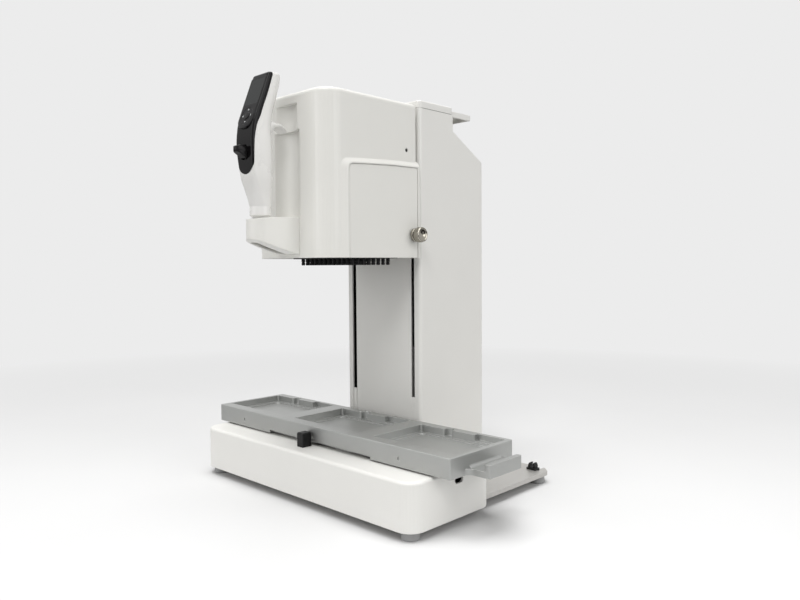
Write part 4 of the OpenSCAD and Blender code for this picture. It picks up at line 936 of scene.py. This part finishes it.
    def hook(self) -> Piece:
        """Build the finger hook: a flattened oval carried along a curved path.

        Ring i is centred on the path. Its points are half width times |cos a|^0.7 across X and half
        height times |sin a|^0.9 across the path, each with its sign, so that the oval is squarish.
        """
        path = np.array(self.hook_path, dtype=float)
        t = np.arange(len(path), dtype=float)
        y, z, high, wide = smooth_rows(np.column_stack([t, path]), np.linspace(0, len(path) - 1, 40)).T
        heading = np.arctan2(np.gradient(z), np.gradient(y))
        heading[:6] = 0.0
        a = np.linspace(0, 2 * math.pi, 49)[:-1]
        across = np.sign(np.cos(a)) * np.abs(np.cos(a))**0.7
        over = np.sign(np.sin(a)) * np.abs(np.sin(a))**0.9
        x = wide[:, None] * across
        yy = self.axis_y + y[:, None] - high[:, None] * over * np.sin(heading)[:, None]
        zz = self.foot_z + z[:, None] + high[:, None] * over * np.cos(heading)[:, None]
        return skin("finger_rest", np.stack([x, yy, zz], axis=-1))

    def face_plate(self) -> Piece:
        """Raise the glossy plate of the upper face, which ends below the keys in a half ellipse.

        The lower end's outline is (w cos a, y - h sin a); the top corners are quarter circles.
        """
        a = np.linspace(math.pi, 2 * math.pi, 33)
        low = np.stack([self.plate_half * np.cos(a), self.plate_low + self.plate_drop * np.sin(a)], axis=1)
        b = np.linspace(0, math.pi / 2, 7)
        r = self.plate_corner
        right = np.stack([self.plate_half - r + r * np.cos(b), self.plate_high - r + r * np.sin(b)], axis=1)
        outline = np.concatenate([low, right, right[::-1] * np.array([-1.0, 1.0])])
        turn = np.linspace(0, math.pi / 2, 5)
        rim = np.column_stack([0.5 * (1 - np.cos(turn)), self.plate_proud - 0.5 + 0.5 * np.sin(turn)])
        return self.stud("face_plate", outline, np.vstack([[0.0, -3.4], rim]), 0.0)

    def marks(self) -> list[Piece]:
        """Build the key marks: small raised arrowheads round the select key."""
        pieces = []
        arrow = np.array([[-1.5, -0.8], [1.5, -0.8], [0.0, 1.2]])
        profile = np.array([[0.0, 0.1], [0.0, 0.33], [0.12, 0.4]])
        for name, turn in (("up", 0.0), ("left", math.pi / 2), ("down", math.pi), ("right", -math.pi / 2)):
            spin = np.array([[math.cos(turn), -math.sin(turn)], [math.sin(turn), math.cos(turn)]])
            outline = (arrow + np.array([0.0, self.mark_out])) @ spin.T
            pieces.append(self.stud("key_mark_" + name, outline, profile, self.key_y))
        return pieces

    def pieces(self) -> None:
        """Build, cut and place every piece of the handset."""
        grip, face, plate = self.grip(), self.face(), self.face_plate()
        radius, deep = self.key_pocket
        for target in (face, plate):
            carve(target, self.stud("cut_keys", disc(radius), np.array([[0.0, -deep], [0.0, 6.0]]),
                                    self.key_y))
            carve(target, self.stud("cut_window", panel(*self.window_size),
                                    np.array([[0.0, -self.window_deep], [0.0, 6.0]]), self.window_y))
        y, z = self.lever_place
        slot = panel(*self.slot_size)
        up = slot[:, 1] + z - self.slot_drop
        rings = np.stack([np.column_stack([slot[:, 0], np.full(len(slot), place), up])
                          for place in (y + 5.5, y - 40)])
        for target in (grip, face):
            carve(target, skin("cut_slot", rings))
        for piece in (grip, face, plate):
            sharpen(piece)
        self.shop.place(grip, "handset_white", "head", "handset_shell")
        self.shop.place(face, "handset_black", "head", "handset_face")
        self.shop.place(plate, "handset_black", "head", "handset_face")
        self.shop.place(self.lever(), "key_plastic", "thumb_lever", "trigger_lever")
        self.shop.place(self.hook(), "handset_white", "head", "finger_hook")
        for piece in self.marks():
            self.shop.place(piece, "marking_grey", "keypad")


# ---------------------------------------------------------------- the room


@dataclass
class Room:
    """Floor, light and camera."""

    camera_place: Point = (716.7, -703.0, 300.5)
    azimuth: float = 44.0
    pitch: float = -2.8
    roll: float = -0.4
    lens: float = 32.05
    sensor: float = 36.0
    floor_half: float = 6000.0
    floor_near: float = 500.0
    floor_far: float = 1700.0
    backdrop: Colour = (236, 236, 236)
    glow: float = 0.25
    # name, place, aim, side, power
    lamps: tuple[tuple[str, Point, Point, float, float], ...] = (
        ("key", (-500, -1900, 900), (0, -80, 250), 1500, 11.5),
        ("high", (900, -1300, 1900), (0, -40, 250), 700, 13.0),
        ("side", (1800, 300, 900), (0, 0, 250), 1300, 12.0),
        ("top", (0, -300, 4000), (0, -100, 0), 2600, 128.0))

    def camera(self) -> None:
        """Set the camera by its heading, pitch and roll.

        The view direction is the heading tipped by the pitch; right and up are then rolled about it.
        """
        a, p, r = (math.radians(v) for v in (self.azimuth, self.pitch, self.roll))
        view = Vector((-math.sin(a) * math.cos(p), math.cos(a) * math.cos(p), math.sin(p)))
        right = Vector((math.cos(a), math.sin(a), 0.0))
        up = right.cross(view)
        right, up = (math.cos(r) * right + math.sin(r) * up, -math.sin(r) * right + math.cos(r) * up)
        data = bpy.data.cameras.new("studio_camera")
        data.lens = self.lens
        data.sensor_width = self.sensor
        data.clip_start = 0.01
        camera = bpy.data.objects.new("studio_camera", data)
        bpy.context.scene.collection.objects.link(camera)
        pose = Matrix((right, up, -view)).transposed().to_4x4()
        pose.translation = Vector(at(np.array(self.camera_place)))
        camera.matrix_world = pose
        bpy.context.scene.camera = camera

    def lamp(self, name: str, place: Point, aim: Point, size: float, power: float) -> None:
        """Hang a soft square lamp, with its side in millimetres and its power in watts."""
        data = bpy.data.lights.new(name, "AREA")
        data.shape = "SQUARE"
        data.size = size / 1000
        data.energy = power
        lamp = bpy.data.objects.new(name, data)
        bpy.context.scene.collection.objects.link(lamp)
        lamp.location = Vector(at(np.array(place)))
        lamp.rotation_euler = (Vector(at(np.array(aim))) - lamp.location).to_track_quat("-Z", "Y").to_euler()

    def light(self) -> None:
        """Hang the lamps and set the world: a pale backdrop, and a soft even glow on the object."""
        for row in self.lamps:
            self.lamp(*row)
        world = bpy.data.worlds.new("studio")
        bpy.context.scene.world = world
        world.use_nodes = True
        wires = Wiring(world.node_tree)
        glow = world.node_tree.nodes["Background"]
        glow.inputs["Color"].default_value = (1.0, 0.995, 0.985, 1.0)
        glow.inputs["Strength"].default_value = self.glow
        seen = wires.add("ShaderNodeBackground")
        seen.inputs["Color"].default_value = linear(self.backdrop)
        seen.inputs["Strength"].default_value = 1.0
        path = wires.add("ShaderNodeLightPath")
        direct = wires.compute("MAXIMUM", path.outputs["Is Camera Ray"], path.outputs["Is Glossy Ray"])
        direct = wires.compute("MAXIMUM", direct, path.outputs["Is Transmission Ray"])
        mixed = wires.add("ShaderNodeMixShader")
        wires.join(direct, mixed.inputs[0])
        wires.join(glow.outputs[0], mixed.inputs[1])
        wires.join(seen.outputs[0], mixed.inputs[2])
        wires.join(mixed.outputs[0], world.node_tree.nodes["World Output"].inputs["Surface"])

    def floor(self) -> None:
        """Lay a plain pale floor, flat at Z = 0, which fades into the backdrop far from the middle."""
        half = self.floor_half
        corners = at(np.array([[-half, -half, 0], [half, -half, 0], [half, half, 0], [-half, half, 0]]))
        mesh = bpy.data.meshes.new("bench_top")
        mesh.from_pydata(corners.tolist(), [], [(0, 1, 2, 3)])
        floor = bpy.data.objects.new("bench_top", mesh)
        bpy.context.scene.collection.objects.link(floor)
        material = bpy.data.materials.new("bench_cloth")
        material.use_nodes = True
        wires = Wiring(material.node_tree)
        shader = material.node_tree.nodes["Principled BSDF"]
        shader.inputs["Roughness"].default_value = 0.8
        shader.inputs["Specular IOR Level"].default_value = 0.0
        place = wires.place()
        cloud = noise(wires, place, 3.0, 2.0)
        cloth = wires.blend(cloud, linear((219, 219, 219)), linear((224, 224, 224)))
        reach = wires.add("ShaderNodeVectorMath", operation="LENGTH")
        wires.join(place, reach.inputs[0])
        far = wires.remap(reach.outputs["Value"], self.floor_near / 1000, self.floor_far / 1000)
        wires.join(wires.blend(far, cloth, (0.0, 0.0, 0.0, 1.0)), shader.inputs["Base Color"])
        seen = wires.compute("MULTIPLY", far, wires.add("ShaderNodeLightPath").outputs["Is Camera Ray"])
        wires.join(wires.blend(seen, (0.0, 0.0, 0.0, 1.0), linear(self.backdrop)),
                   shader.inputs["Emission Color"])
        shader.inputs["Emission Strength"].default_value = 1.0
        mesh.materials.append(material)

    def build(self) -> None:
        """Set camera, light and floor, and the plain colour transform."""
        bpy.context.scene.view_settings.view_transform = "Standard"
        self.camera()
        self.light()
        self.floor()


def main() -> None:
    """Dress every solid, build the pieces and set the room."""
    logging.basicConfig(level=logging.INFO, format="%(message)s")
    Room().build()
    shop = PaintShop()
    for kind in (Base, Stage, Tower, Lift, Head, PipettingBlock, Handset):
        kind(shop).build()


if __name__ == "__main__":
    main()
